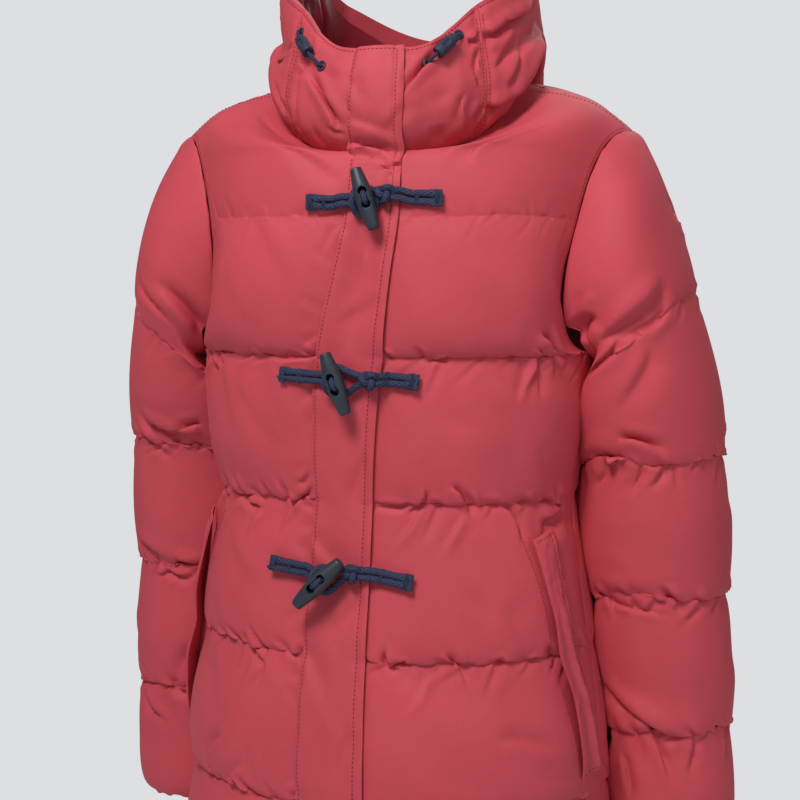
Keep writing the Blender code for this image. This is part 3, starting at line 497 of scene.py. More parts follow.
for side, name in ((-1, "front_right"), (1, "front_left")):
    add_panel(name, 7, [(0, FRONT_COLS)], lambda q, j: body_skin(side, j / (FRONT_COLS - 1), q, True))
add_panel("back", 7, [(0, BACK_HALF + 1), (BACK_HALF + 1, 2 * BACK_HALF + 2)], back_skin)

# ---------------------------------------------------------------- sleeves
# Two set-in sleeves of the same quilted cloth, five channels each and open at the
# cuff, sewn round the armholes; they hang with the elbows a little bent.
SLEEVE_PUFF = 0.0085
SLEEVE_CLEAR = 0.0034
SLEEVE_COLS = 100
# place, outer x, outer z, inner x, inner z, middle y, half depth
SLEEVE_ROWS = {
    "sleeve_right": [
        (0.0, 0.192, -0.047, 0.172, -0.228, 0.008, 0.064), (0.3, 0.202, -0.066, 0.180, -0.236, 0.008, 0.068),
        (0.6, 0.219, -0.100, 0.180, -0.243, 0.014, 0.070), (1.0, 0.243, -0.178, 0.172, -0.258, 0.028, 0.070),
        (2.0, 0.264, -0.310, 0.146, -0.318, 0.058, 0.064), (3.0, 0.266, -0.424, 0.140, -0.424, 0.073, 0.059),
        (4.0, 0.268, -0.534, 0.154, -0.534, 0.078, 0.054), (5.0, 0.266, -0.638, 0.161, -0.638, 0.081, 0.052)],
    "sleeve_left": [
        (0.0, 0.192, -0.047, 0.172, -0.228, 0.008, 0.064), (0.3, 0.203, -0.066, 0.180, -0.236, 0.010, 0.068),
        (0.6, 0.221, -0.098, 0.180, -0.243, 0.014, 0.070), (1.0, 0.246, -0.178, 0.172, -0.258, 0.020, 0.070),
        (2.0, 0.266, -0.310, 0.152, -0.318, 0.036, 0.064), (3.0, 0.268, -0.424, 0.146, -0.424, 0.046, 0.059),
        (4.0, 0.270, -0.534, 0.158, -0.534, 0.053, 0.054), (5.0, 0.268, -0.638, 0.164, -0.638, 0.060, 0.052)],
}


def body_limit(p, extra):
    """Pushes a sleeve point out of the body's puffed section at its height."""
    if p.z > ARMPIT_Z + 0.02:
        return p
    z = min(p.z, ARMPIT_Z)
    q = row_at(z)
    a = math.radians(-body(p.z, 4))
    c, s = math.cos(a), math.sin(a)
    x, y = p.x * c - p.y * s, p.x * s + p.y * c
    hw = body(z, 1)
    depth = body(z, 3) if y > 0 else body(z, 2)
    u = math.atan2(abs(x) / hw, abs(y) / depth) / (math.pi / 2)
    amount = BODY_PUFF * puff_share(q) * smooth(1 - u, 0.0, 0.12) * flat_side(u, q) + extra
    g = math.hypot(x / (hw + amount), y / (depth + amount))
    if g >= 1.0 or g == 0.0:
        return p
    x, y = x / g, y / g
    return Vector((x * c + y * s, -x * s + y * c, p.z))


def sleeve_skin(side, rows, s, angle):
    """Seam point, outward direction and full puff of a sleeve; angle 0 is its outer line."""
    xo, zo, xi, zi, yc, rv = (column(rows, s, k) for k in range(1, 7))
    c, w = math.cos(angle), math.sin(angle)
    p = Vector((side * ((xo + xi) / 2 + (xo - xi) / 2 * c), yc - rv * w, (zo + zi) / 2 + (zo - zi) / 2 * c))
    centre = Vector((side * (xo + xi) / 2, yc, (zo + zi) / 2))
    seam = turned(armhole(side, 1 - abs(angle) / math.pi, angle >= 0)) + Vector((side * SEAM_GAP, 0, 0))
    base = seam + Vector((side * 0.042 * s, 0, -0.040 * s * max(0.0, c)))
    p = base.lerp(p, smooth(s, 0.0, 0.75)) if s > 0 else seam
    out = -(centre - p).normalized()
    head = 1 - 0.6 * (1 - smooth(s, 0.0, 1.0)) * max(0.0, c)
    plump = roll(s - math.floor(s))
    if 0 < s < 1:
        plump = max(plump, math.sin(math.pi * s) ** 0.5)
    # padding pressed into the armpit keeps the sleeve full there
    armpit = smooth(abs(angle), 1.2, 2.2) * math.exp(-((s - 1.2) / 0.6) ** 2) * min(1.0, s * 2.5)
    p = body_limit(p - Vector((side * 0.015 * armpit, 0, 0)), SLEEVE_CLEAR * (1 - armpit))
    return p, out, max(SLEEVE_PUFF * plump * head, 0.0080 * armpit)


for side, (name, rows) in zip((-1, 1), SLEEVE_ROWS.items()):
    add_panel(name, 5, [(0, SLEEVE_COLS)], lambda s, j: sleeve_skin(
        side, rows, s, math.pi - 2 * math.pi * j / SLEEVE_COLS), closed=True)

# ------------------------------------------------------- sewing and filling
# Each quilted piece is cut slightly larger than its place, held along its sewn
# lines and edges, and pressed out by its filling, so the slack cloth puckers.
GATHER_ACROSS = 1.06
GATHER_DOWN = 1.04
SEWING_FRAMES = 18
MOST_ASIDE = 0.003


def wrinkle_noise(rng, rows, cols, down, across, closed=False):
    """Smooth random field of about unit height, drawn on a coarse grid and blurred up."""
    lines = max(3, int(round(rows / down)) + 2)
    posts = max(4, int(round(cols / across)))
    rough = rng.standard_normal((lines, posts if closed else posts + 2))
    if closed:
        rough = np.concatenate([rough, rough[:, :1]], axis=1)
    y = np.linspace(0, lines - 1, rows)
    x = np.linspace(0, rough.shape[1] - 1, cols)
    i = np.minimum(y.astype(int), lines - 2)
    j = np.minimum(x.astype(int), rough.shape[1] - 2)
    fy, fx = y - i, x - j
    fy, fx = fy * fy * (3 - 2 * fy), fx * fx * (3 - 2 * fx)
    top = rough[np.ix_(i, j)] * (1 - fx) + rough[np.ix_(i, j + 1)] * fx
    low = rough[np.ix_(i + 1, j)] * (1 - fx) + rough[np.ix_(i + 1, j + 1)] * fx
    return top * (1 - fy[:, None]) + low * fy[:, None]


def joined(panel):
    """Vertex numbers of the grid; the back's two halves share their middle column below the neck."""
    number = np.arange(panel["limits"].size).reshape(panel["limits"].shape)
    if len(panel["strips"]) == 2:
        last = panel["strips"][0][1] - 1
        together = np.linalg.norm(panel["seams"][:, last] - panel["seams"][:, last + 1], axis=1) < 1e-5
        number[together, last + 1] = number[together, last]
    return number


def grid_faces(number, lo, hi, closed=False):
    """Faces of columns lo to hi of a grid of point numbers, all the way round if closed."""
    return [(number[i, j], number[i + 1, j], number[i + 1, k], number[i, k]) for i in range(len(number) - 1)
            for j in range(lo, hi if closed else hi - 1) for k in [lo + (j + 1 - lo) % (hi - lo)]]


def new_mesh(name, points, faces):
    """Object with a mesh of these points and faces."""
    mesh = bpy.data.meshes.new(name)
    mesh.from_pydata([tuple(p) for p in points], [], [tuple(int(v) for v in f) for f in faces])
    made = bpy.data.objects.new(name, mesh)
    bpy.context.scene.collection.objects.link(made)
    return made


def sewn_cloth(panel, seed):
    """Makes the slack, padded cloth of a panel as a grid held along its sewn lines."""
    rng = np.random.default_rng(seed)
    limits, closed = panel["limits"], panel["closed"]
    rows, cols = limits.shape
    start = limits * (0.85 + 0.05 * wrinkle_noise(rng, rows, cols, 5, 8, closed))
    start += 0.0004 * wrinkle_noise(rng, rows, cols, 3, 3, closed) * (limits > 0.001)
    line = np.zeros((rows, cols))
    line[panel["lines"]] = 1
    wander = 0.0012 * wrinkle_noise(rng, rows, cols, 1, 2.2, closed)
    points = panel["seams"] + panel["outs"] * start[..., None]
    points[..., 2] += wander * line * (limits.max(axis=0) > 0.004)
    points = points.reshape(-1, 3)
    number = joined(panel)
    cloth = new_mesh(panel["name"] + "_sewing", points.tolist(),
                     sum((grid_faces(number, lo, hi, closed) for lo, hi in panel["strips"]), []))
    probe = cloth.data.polygons[rows // 2 * (cols - 2)].vertices
    a, b, c = (points[v] for v in probe[:3])
    if np.dot(np.cross(b - a, c - b), panel["outs"].reshape(-1, 3)[probe[0]]) < 0:
        cloth.data.flip_normals()
    cloth.shape_key_add(name="sewn")
    cut = cloth.shape_key_add(name="cut")
    cut.data.foreach_set("co", (panel["seams"] * (GATHER_ACROSS, GATHER_ACROSS, GATHER_DOWN)).reshape(-1))
    held = cloth.vertex_groups.new(name="held")
    fixed = (line > 0) | (limits < 0.0004)
    held.add(np.nonzero(fixed.reshape(-1))[0].tolist(), 1.0, "REPLACE")
    weave = cloth.modifiers.new("cloth", "CLOTH")
    for key, value in dict(quality=4, mass=0.2, tension_stiffness=15, compression_stiffness=15,
                           shear_stiffness=5, bending_stiffness=0.05, use_pressure=True,
                           uniform_pressure_force=1.6, vertex_group_mass="held", rest_shape_key=cut).items():
        setattr(weave.settings, key, value)
    weave.settings.effector_weights.gravity = 0
    weave.collision_settings.use_collision = False
    return cloth


def evened(field):
    """Each row of a field averaged with its neighbours; the first and the last stay."""
    calm = field.copy()
    calm[1:-1] = (field[:-2] + 2 * field[1:-1] + field[2:]) / 4
    return calm


def settled(panel, field):
    """Evens out the middle of the channels, where the padding keeps the cloth smooth."""
    share = (np.arange(len(field)) % BODY_STEPS) / BODY_STEPS
    middle = np.clip((0.5 - np.abs(share - 0.5)) / 0.22 - 0.25, 0, 1)
    middle = middle.reshape((-1,) + (1,) * (field.ndim - 1))
    for lo, hi in panel["strips"]:
        part = field[:, lo:hi]
        for _ in range(14):
            calm = evened(part)
            if panel["closed"]:
                calm = (np.roll(calm, 1, axis=1) + 2 * calm + np.roll(calm, -1, axis=1)) / 4
            else:
                calm = np.swapaxes(evened(np.swapaxes(calm, 0, 1)), 0, 1)
                calm[:, [0, -1]] = part[:, [0, -1]]
            part = part * (1 - middle) + calm * middle
        field[:, lo:hi] = part
    return field


sewing = [sewn_cloth(panel, 11 + number) for number, panel in enumerate(panels)]
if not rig.quick():
    for f in range(1, SEWING_FRAMES + 1):
        bpy.context.scene.frame_set(f)
for panel, cloth in zip(panels, sewing):
    puffed = cloth.evaluated_get(bpy.context.evaluated_depsgraph_get()).to_mesh()
    where = np.zeros(len(puffed.vertices) * 3)
    puffed.vertices.foreach_get("co", where)
    offset = where.reshape(-1, 3)[joined(panel)] - panel["seams"]
    height = (offset * panel["outs"]).sum(axis=2)
    aside = offset - panel["outs"] * height[..., None]
    room = panel["limits"] * 1.12 + np.where(panel["limits"] > 0.007, 0.0010, 0.0003)
    if panel["name"].startswith("front"):
        room[:, :9] = panel["limits"][:, :9]
    height = settled(panel, np.clip(height, -0.0012, room))
    aside = settled(panel, np.clip(aside, -MOST_ASIDE, MOST_ASIDE))
    panel["puffed"] = panel["seams"] + panel["outs"] * height[..., None] + aside
    bpy.data.objects.remove(cloth, do_unlink=True)

# --------------------------------------- puckers and folds of the quilted pieces
# Each sewn line gathers the cloth, so short tucks run off it both ways and the
# roll above hangs over it in scallops; the worn coat also has deeper folds at the
# waist, inside the elbows and under the arms.
FINE_STEPS = 2 * BODY_STEPS
MOST_SLIP = 0.0075
# the cloth folds fully where its padding lets it stand this far
FULL_STAND = 0.008
# how far the roll above each sewn line hangs over it
BODY_DROPS = {1: 0.0014, 2: 0.0046, 3: 0.0060, 4: 0.0056, 5: 0.0056, 6: 0.0054}
SLEEVE_DROPS = {1: 0.0040, 2: 0.0092, 3: 0.0102, 4: 0.0092}
# the worn coat's own folds: row place, way across (mm), heading (deg), length, depth, width, bend (mm)
FOLD_UNITS = (1, 1000, 1, 1000, 1000, 1000, 1000)
SLEEVE_BACK_FOLDS = [
    (0.62, 215, 32, 60, 3.4, 3.2, 4), (0.85, 250, 150, 50, 2.6, 2.6, 3), (1.4, 300, 128, 60, 3, 3.4, -4),
    (1.88, 235, 18, 52, 4.4, 2.4, 4), (2.06, 290, 165, 46, 3.6, 2.4, 3), (1.76, 200, 150, 30, 2, 2.6, 2),
    (2.6, 330, 30, 50, 3, 3.4, 3), (2.95, 240, 168, 56, 4.2, 2.6, 4), (3.15, 300, 12, 40, 2.6, 2.2, -2),
    (3.95, 200, 20, 50, 4, 2.6, 3), (4.12, 265, 160, 46, 3, 2.4, 3), (4.4, 300, 75, 40, 2, 2.8, 3),
]
FOLDS = {
    "sleeve_right": SLEEVE_BACK_FOLDS + [
        (0.7, 129, 149, 60, 2.8, 1.5, 2), (0.37, 58, -22, 66, 6, 3.2, -4), (0.8, 140, 132, 24, 2.2, 2, 3),
        (1.72, 122, 156, 60, 5.6, 2.4, 4), (1.7, 76, 5, 22, 4, 1.8, 2), (1.8, 137, 145, 52, 3.4, 2.2, -4),
        (2.72, 151, 157, 64, 3.6, 3, 5), (2.84, 100, 170, 26, 4.4, 2, 2), (3.12, 112, 156, 30, 3.6, 2, 3),
        (3.22, 118, -140, 20, 2.4, 1.8, 2), (3.6, 75, 60, 36, 2.6, 3, 4), (4.15, 146, -175, 64, 3.6, 2.2, 3),
        (4.28, 126, 146, 42, 3, 2.2, 3), (4.05, 90, 150, 30, 3, 2.2, 2)],
    "sleeve_left": SLEEVE_BACK_FOLDS + [
        (0.36, 50, -22, 30, 8.5, 5.2, 0), (0.78, 142, 149, 84, 7.2, 3.6, 5), (0.83, 91, 146, 50, 4, 2, 3),
        (0.4, 86, 150, 34, -1.6, 2.4, 0), (0.9, 138, 151, 50, 4.6, 2.4, 2), (1.3, 120, 122, 60, 2.6, 4, 4),
        (1.69, 90, 9, 34, 4.8, 2, 2), (2.1, 46, -24, 56, 5.6, 3, 4), (1.96, 68, -12, 46, 5, 2.2, 12),
        (1.97, 74, 122, 30, 2.8, 1.8, 2), (2.12, 98, 112, 24, 2.4, 1.8, 1), (2.06, 118, 120, 28, 2.4, 2, 2),
        (2.96, 68, -6, 52, 5.6, 2.4, 2), (3.17, 70, 4, 50, 2.6, 1.4, 4), (3.12, 86, 100, 12, 2.4, 2, 0),
        (3.06, 64, 60, 18, 2.6, 2, 1), (3.96, 98, -150, 66, 6.6, 3, 5), (3.72, 72, 44, 24, 3.6, 2, 2),
        (3.78, 82, 70, 46, 2.6, 2.4, 3), (4.2, 86, 64, 40, 2.6, 2.4, 3), (4.34, 62, 76, 36, 2.4, 2.2, 3),
        (4.12, 120, 100, 34, 2.2, 2.2, 3)],
    "front_right": [
        (0.3, 24, 115, 36, 2.4, 3, 3), (0.65, 61, 143, 48, 2.2, 3.6, 3), (2.84, 124, 161, 52, 5, 2, 6),
        (2.8, 108, 138, 28, 4, 1.8, 2), (2.9, 150, 140, 24, 4.4, 2, 3), (2.98, 46, -151, 28, 4.2, 1.6, 2),
        (2.76, 35, -133, 16, 2.2, 1.8, 1), (3.26, 78, 62, 34, -1.6, 2, 3), (3.24, 42, 50, 40, 1.2, 2.8, 3),
        (3.16, 146, 58, 38, -2, 2.2, 4), (3.2, 158, 60, 44, 2.2, 2.4, 4), (3.22, 110, 52, 30, -1.2, 2, 2),
        (1.92, 152, 128, 26, 5.2, 2.4, 2), (1.86, 138, 118, 20, 3.4, 2.2, 2), (2.16, 150, 62, 42, -2.2, 2.4, 4),
        (2.22, 138, 66, 34, 1.4, 2.6, 3), (3.86, 82, 132, 30, 3, 2, 3), (4.24, 66, 48, 36, -1.2, 2.2, 3),
        (4.6, 108, 43, 44, 2.4, 2.6, 4), (4.72, 80, 38, 38, 1.8, 2.4, 3), (5.84, 120, 140, 32, 3.6, 2, 3),
        (6.2, 90, 60, 40, -1.4, 2.4, 3)],
    "front_left": [
        (0.62, 48, -101, 80, 2, 4.4, -4), (0.67, 72, -111, 52, 2.6, 3.8, 3), (1.68, 151, 62, 44, 6, 2.6, 4),
        (1.82, 146, 92, 30, 5, 2, 2), (2.12, 140, 98, 34, -2, 2.2, 3), (2.16, 150, 80, 30, 1.6, 2.2, 3),
        (3.1, 130, 60, 32, 3.4, 1.8, 3), (3.13, 184, 163, 28, 6, 4.2, 2), (4.5, 135, 22, 58, 2.6, 3.2, 5),
        (2.83, 64, 120, 22, 3.4, 1.6, 3), (2.78, 86, 52, 30, 3.4, 1.6, 3), (4.08, 50, -126, 22, 3, 1.6, 2),
        (3.18, 60, 122, 36, -1.4, 2, 3), (3.2, 94, 118, 34, -1.4, 2.2, 3), (3.88, 90, 50, 30, 3.4, 1.8, 3),
        (4.22, 76, 120, 40, -1.4, 2.2, 3), (5.86, 80, 44, 34, 3.4, 2, 3), (6.16, 120, 112, 40, -1.4, 2.4, 3)],
    "back": [
        (0.7, 130, 30, 70, 2.6, 5, 6), (0.72, 330, 150, 66, 2.4, 4.8, -6), (1.9, 80, 40, 50, 4, 2.6, 4),
        (1.88, 400, 140, 50, 4, 2.6, 4), (2.86, 150, 150, 54, 4.6, 2.2, 5), (2.88, 330, 28, 50, 4.4, 2.2, 5),
        (2.82, 236, 60, 34, 3.4, 2, 3), (3.16, 200, 118, 48, -1.8, 2.4, 4), (3.2, 290, 62, 44, -1.8, 2.4, 4),
        (3.9, 120, 146, 46, 4.2, 2.2, 4), (3.88, 360, 34, 46, 4, 2.2, 4), (4.86, 200, 136, 40, 3.6, 2.2, 4),
        (4.9, 300, 40, 40, 3.6, 2.2, 4), (5.88, 240, 50, 40, 3.6, 2.2, 4)],
}


def between(field, segments, wrap):
    """Adds a smooth midpoint between neighbours along the first axis."""
    parts = []
    for lo, hi in segments:
        part = field[lo:hi + 1]
        if wrap:
            mids = (9 * (part + np.roll(part, -1, axis=0)) - np.roll(part, 1, axis=0) - np.roll(part, -2, axis=0)) / 16
            return np.stack([part, mids], axis=1).reshape((-1,) + part.shape[1:])
        before = np.concatenate([2 * part[:1] - part[1:2], part[:-2]])
        after = np.concatenate([part[2:], 2 * part[-1:] - part[-2:-1]])
        out = np.empty((2 * len(part) - 1,) + part.shape[1:])
        out[0::2], out[1::2] = part, (9 * (part[:-1] + part[1:]) - before - after) / 16
        parts.append(out[1:] if parts else out)
    return np.concatenate(parts)


def finer(panel, key):
    """The panel's field on a grid twice as fine, kept sharp at the sewn lines."""
    tall = between(panel[key], list(zip(panel["lines"], panel["lines"][1:])), False)
    wide = [np.swapaxes(between(np.swapaxes(tall[:, lo:hi], 0, 1), [(0, hi - lo - 1)], panel["closed"]), 0, 1)
            for lo, hi in panel["strips"]]
    return np.concatenate(wide, axis=1)


def arcs(points):
    """Way along each row and down each column of a grid, in metres."""
    x = np.linalg.norm(np.diff(points, axis=1), axis=2)
    y = np.linalg.norm(np.diff(points, axis=0), axis=2)
    return (np.concatenate([np.zeros((len(points), 1)), np.cumsum(x, axis=1)], axis=1),
            np.concatenate([np.zeros((1, points.shape[1])), np.cumsum(y, axis=0)]))


def unit(field):
    """Each vector of a grid at length one."""
    return field / np.maximum(np.linalg.norm(field, axis=2), 1e-9)[..., None]


def ridge(x, width):
    """Rounded ridge of unit height at x = 0."""
    return np.exp(-(x / width) ** 2)


def ramp(x, reach):
    """From 0 at an edge to 1 at a reach from it."""
    return np.clip(x / reach, 0, 1)


def with_folds(skin, across, down, per_row, **more):
    """A grid ready to take folds, which gather in its lift and its slip."""
    return {"skin": skin, "across": across, "down": down, "per_row": per_row, "closed": False,
            "lift": np.zeros(across.shape), "slip": np.zeros(skin.shape),
            "ways": [unit(np.gradient(skin, axis=axis)) for axis in (0, 1)], **more}


def fold(panel, row, across, heading, length, depth, width, bend=0.0, over=0.3):
    """One soft fold: row place and way across of its start, heading (deg, 0 across, 90 down).

    Its ridge leans over its trough by the share over of the depth.
    """
    at = int(round(row * panel["per_row"]))
    col = int(np.argmin(np.abs(panel["across"][at] - across)))
    x = panel["across"] - panel["across"][at, col]
    if panel["closed"]:
        girth = panel["girth"][:, None]
        x = (x + girth / 2) % girth - girth / 2
    y = panel["down"] - panel["down"][at, col]
    a = math.radians(heading)
    t = (x * math.cos(a) + y * math.sin(a)) / length
    n = y * math.cos(a) - x * math.sin(a) - bend * t * t
    near = (t > -0.25) & (t < 1.1) & (np.abs(n) < 8 * width)
    t, n = t[near], n[near]
    grow, fade = ramp(t + 0.22, 0.32), ramp(1.05 - t, 0.7)
    taper = (grow * grow * (3 - 2 * grow)) * (fade * fade * (3 - 2 * fade))
    side = np.where(n > 0, 0.85 * width, 2.0 * width)
    shape = 0.55 * ridge(n - 2.0 * width, 1.1 * width) - ridge(n, side)
    shape += 0.22 * ridge(n + 4.0 * width, 1.8 * width)
    panel["lift"][near] += depth * taper * shape
    down_way, cross_way = panel["ways"]
    ahead = math.cos(a) * down_way[near] - math.sin(a) * cross_way[near]
    lean = over * abs(depth) * taper * ridge(n - 1.7 * width, 1.3 * width)
    panel["slip"][near] -= ahead * lean[:, None]


def scallops(panel, rng, line, drop, even):
    """Roll above a sewn line hanging over it between its tucks, whose places it gives."""
    at = line * FINE_STEPS
    across = panel["across"][at]
    marks = [0.0]
    while marks[-1] < across[-1]:
        marks.append(marks[-1] + rng.uniform(0.010, 0.030))
    marks = np.array(marks)
    marks *= (panel["girth"][at] if panel["closed"] else across[-1]) / marks[-1]
    k = np.clip(np.searchsorted(marks, across) - 1, 0, len(marks) - 2)
    share = (across - marks[k]) / (marks[k + 1] - marks[k])
    arch = np.sin(np.pi * np.clip(share, 0, 1)) ** 0.7 * (0.30 + 0.70 * rng.random(len(marks))[k])
    arch = even + (1 - even) * arch
    above = slice(at - FINE_STEPS, at)
    d = panel["down"][at] - panel["down"][above]
    lip = (d / 0.0035) * np.exp(1 - d / 0.0035)
    along = unit(np.diff(panel["skin"][at - FINE_STEPS:at + 1], axis=0))
    full = ramp(panel["fine_limits"][above].max(axis=0), FULL_STAND)
    panel["slip"][above] += along * (drop * arch * full * lip)[..., None]
    panel["lift"][above] += 0.35 * drop * arch * full * lip
    return marks[1:-1]


for number, panel in enumerate(panels):
    rng = np.random.default_rng(70 + number)
    fine, seams = finer(panel, "puffed"), finer(panel, "seams")
    across, down = arcs(seams)
    panel.update(with_folds(
        fine, across, down - down[FINE_STEPS] - seams[FINE_STEPS, :, 2], FINE_STEPS, closed=panel["closed"],
        fine_seams=seams, fine_limits=np.maximum(finer(panel, "limits"), 0), fine_outs=unit(finer(panel, "outs")),
        girth=across[:, -1] + np.linalg.norm(seams[:, 0] - seams[:, -1], axis=1)))
    way = -1 if panel["name"].endswith("left") else 1
    drops = SLEEVE_DROPS if panel["closed"] else BODY_DROPS
    for line, drop in drops.items():
        for x in scallops(panel, rng, line, drop, 0.45 if panel["closed"] else 0.15):
            for up in (True, False):
                deep = drop * rng.uniform(0.20, 0.75) * (1.0 if up else 0.42)
                long = rng.uniform(0.008, 0.022) * (1.0 if up else 1.9)
                lean = way * rng.normal(40, 16)
                heading = (-90 + lean) if up else (90 - lean + rng.normal(0, 10))
                fold(panel, line, x + rng.normal(0, 0.002), heading, long, deep,
                     rng.uniform(0.0012, 0.0022), way * (0.30 if up else -0.10) * long)
    span = float(panel["across"].max())
    for line in drops:
        for _ in range(7):
            fold(panel, line + rng.uniform(0.12, 0.7), rng.uniform(0.02, span - 0.02),
                 90 + way * rng.normal(42, 16), rng.uniform(0.035, 0.075), rng.uniform(0.0006, 0.0014),
                 rng.uniform(0.0060, 0.0110), way * rng.normal(0.005, 0.004), 0.5)
    for row, x, heading, length, depth, width, bend in np.array(FOLDS[panel["name"]]) / FOLD_UNITS:
        fold(panel, row, x, heading, length, depth * 1.25, width * 1.15, bend, 1.0)
    far = np.linalg.norm(panel["slip"], axis=2)
    panel["slip"] *= np.minimum(1, MOST_SLIP / np.maximum(far, 1e-9))[..., None]

# ------------------------------------------------ cloth of the quilted pieces
# Woven shell outside and satin inside, closed round their edges into one wall: the
# folds lie in the outer face only, and the cloth stays flat beside the flap.
WALL = 0.0030
# scale of a wave pattern whose waves lie one millimetre apart
ONE_MM_WAVES = 314.0


def plain_weave(name, code, pile, coarse, roughness, sheen, gloss):
    """Plain-woven cloth: crossed threads, slight unevenness of dye and tiny crinkles.

    coarse is the drawn thread spacing in mm, about three times the real one so that it shows.
    """
    cloth, tree, shader = new_material(name, {
        "Roughness": roughness, "Sheen Weight": sheen, "Sheen Roughness": 0.45,
        "Specular IOR Level": gloss, "Sheen Tint": linear(pile)})
    place = add_node(tree, "ShaderNodeUVMap", {"uv_map": "weave"})
    solid = add_node(tree, "ShaderNodeTexCoord")
    dye = add_node(tree, "ShaderNodeTexNoise", {"Scale": 14.0, "Detail": 3.0}, Vector=solid.outputs["Object"])
    tone = add_node(tree, "ShaderNodeMapRange", {"From Min": 0.3, "From Max": 0.7, "To Min": 0.93, "To Max": 1.06},
                    Value=dye)
    warp, weft = (add_node(tree, "ShaderNodeTexWave", {
        "bands_direction": way, "Scale": ONE_MM_WAVES / coarse, "Distortion": 0.6, "Detail": 1.0,
        "Detail Scale": 2.0}, Vector=place) for way in "XY")
    weave = add_node(tree, "ShaderNodeMath", {"operation": "MULTIPLY"}, i0=warp.outputs["Fac"], i1=weft.outputs["Fac"])
    crinkle = add_node(tree, "ShaderNodeTexNoise", {"Scale": 160.0, "Detail": 2.0}, Vector=solid.outputs["Object"])
    shade = add_node(tree, "ShaderNodeMapRange", {"To Min": 0.94, "To Max": 1.05}, Value=weave)
    both = add_node(tree, "ShaderNodeMath", {"operation": "MULTIPLY"}, i0=tone, i1=shade)
    add_node(tree, "ShaderNodeVectorMath", {"operation": "SCALE", 0: linear(code)[:3]},
             shader.inputs["Base Color"], Scale=both)
    threads = add_node(tree, "ShaderNodeBump", {"Strength": 0.25, "Distance": 0.00015}, Height=weave)
    add_node(tree, "ShaderNodeBump", {"Strength": 0.35, "Distance": 0.0006}, shader.inputs["Normal"],
             Height=crinkle, Normal=threads)
    return cloth


shell = plain_weave("plain-woven polyester shell", "#CB4A56", "#DD7A80", 0.9, 0.64, 0.03, 0.28)
satin = plain_weave("woven satin lining", "#8E1F30", "#C85566", 0.7, 0.34, 0.10, 0.6)


def assign(piece, slot, node=None):
    """Gives a piece to the coat's one body, with its finish and the solid it stands for."""
    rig.ride(piece, "root")
    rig.slot(piece, slot)
    if node:
        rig.replaces(piece, node)
    return piece


def finished(piece, slot, node=None, edge_angle=None, tidy=None):
    """Turns a piece's faces outwards and assigns it; edges over edge_angle stay sharp."""
    shaped = bmesh.new()
    shaped.from_mesh(piece.data)
    if tidy:
        tidy(shaped)
    bmesh.ops.recalc_face_normals(shaped, faces=shaped.faces)
    if edge_angle:
        for face in shaped.faces:
            face.smooth = True
        for edge in [e for e in shaped.edges if e.calc_face_angle(0) > edge_angle]:
            edge.smooth = False
    shaped.to_mesh(piece.data)
    shaped.free()
    return assign(piece, slot, node)


def without_doubles(shaped):
    """Merges the back's two halves, and the faces that both have between them go."""
    bmesh.ops.remove_doubles(shaped, verts=shaped.verts, dist=2e-6)
    double = [f for f in shaped.faces if all(len(e.link_faces) > 2 for e in f.edges)]
    bmesh.ops.delete(shaped, geom=double, context="FACES_ONLY")


def cloth_wall(node, outer, inner, across, down, mats, slot, strips=None, closed=False, edge_angle=1.0):
    """Closed wall between an outer grid and an inner one, which may be half as fine.

    It has a woven map in metres, and takes the second material, if any, inside.
    """
    high, wide = outer.shape[:2]
    rows, cols = inner.shape[:2]
    fine = 2 if high > rows else 1
    outer_at = np.arange(high * wide).reshape(high, wide)
    inner_at = high * wide + np.arange(rows * cols).reshape(rows, cols)
    faces, inside, start = [], [], 0
    strips = strips or [(0, cols)]
    for lo, hi in strips:
        width = fine * (hi - lo) if closed else fine * (hi - lo - 1) + 1
        faces += grid_faces(outer_at, start, start + width, closed)
        inside += [(a, d, c, b) for a, b, c, d in grid_faces(inner_at, lo, hi, closed)]
        rims = []
        for row, other, flip in ((0, 0, False), (rows - 1, high - 1, True)):
            for c in range(hi - lo if closed else hi - lo - 1):
                edge = [outer_at[other, start + (fine * c + t) % width] for t in range(fine + 1)]
                rims.append((edge + [inner_at[row, lo + (c + 1) % (hi - lo)], inner_at[row, lo + c]], flip))
        if not closed:
            for col, other, flip in ((lo, start, True), (hi - 1, start + width - 1, False)):
                for c in range(rows - 1):
                    edge = [outer_at[fine * c + t, other] for t in range(fine + 1)]
                    rims.append((edge + [inner_at[c + 1, col], inner_at[c, col]], flip))
        faces += [rim[::-1] if flip else rim for rim, flip in rims]
        start += width
    piece = new_mesh(node + "_cloth", np.concatenate([outer.reshape(-1, 3), inner.reshape(-1, 3)]).tolist(),
                     faces + inside)
    mesh = piece.data
    corners = np.zeros(len(mesh.loops), dtype=int)
    mesh.loops.foreach_get("vertex_index", corners)
    ways = [np.concatenate([way.reshape(-1), way[::fine, ::fine].reshape(-1) if len(strips) == 1
                            else np.zeros(rows * cols)])[corners] for way in (across, down)]
    mesh.uv_layers.new(name="weave").data.foreach_set("uv", np.stack(ways, axis=1).reshape(-1))
    for mat in mats:
        mesh.materials.append(mat)
    for k in range(len(faces), len(mesh.polygons)):
        mesh.polygons[k].material_index = len(mats) - 1
    return finished(piece, slot, node, edge_angle, without_doubles if len(strips) > 1 else None)


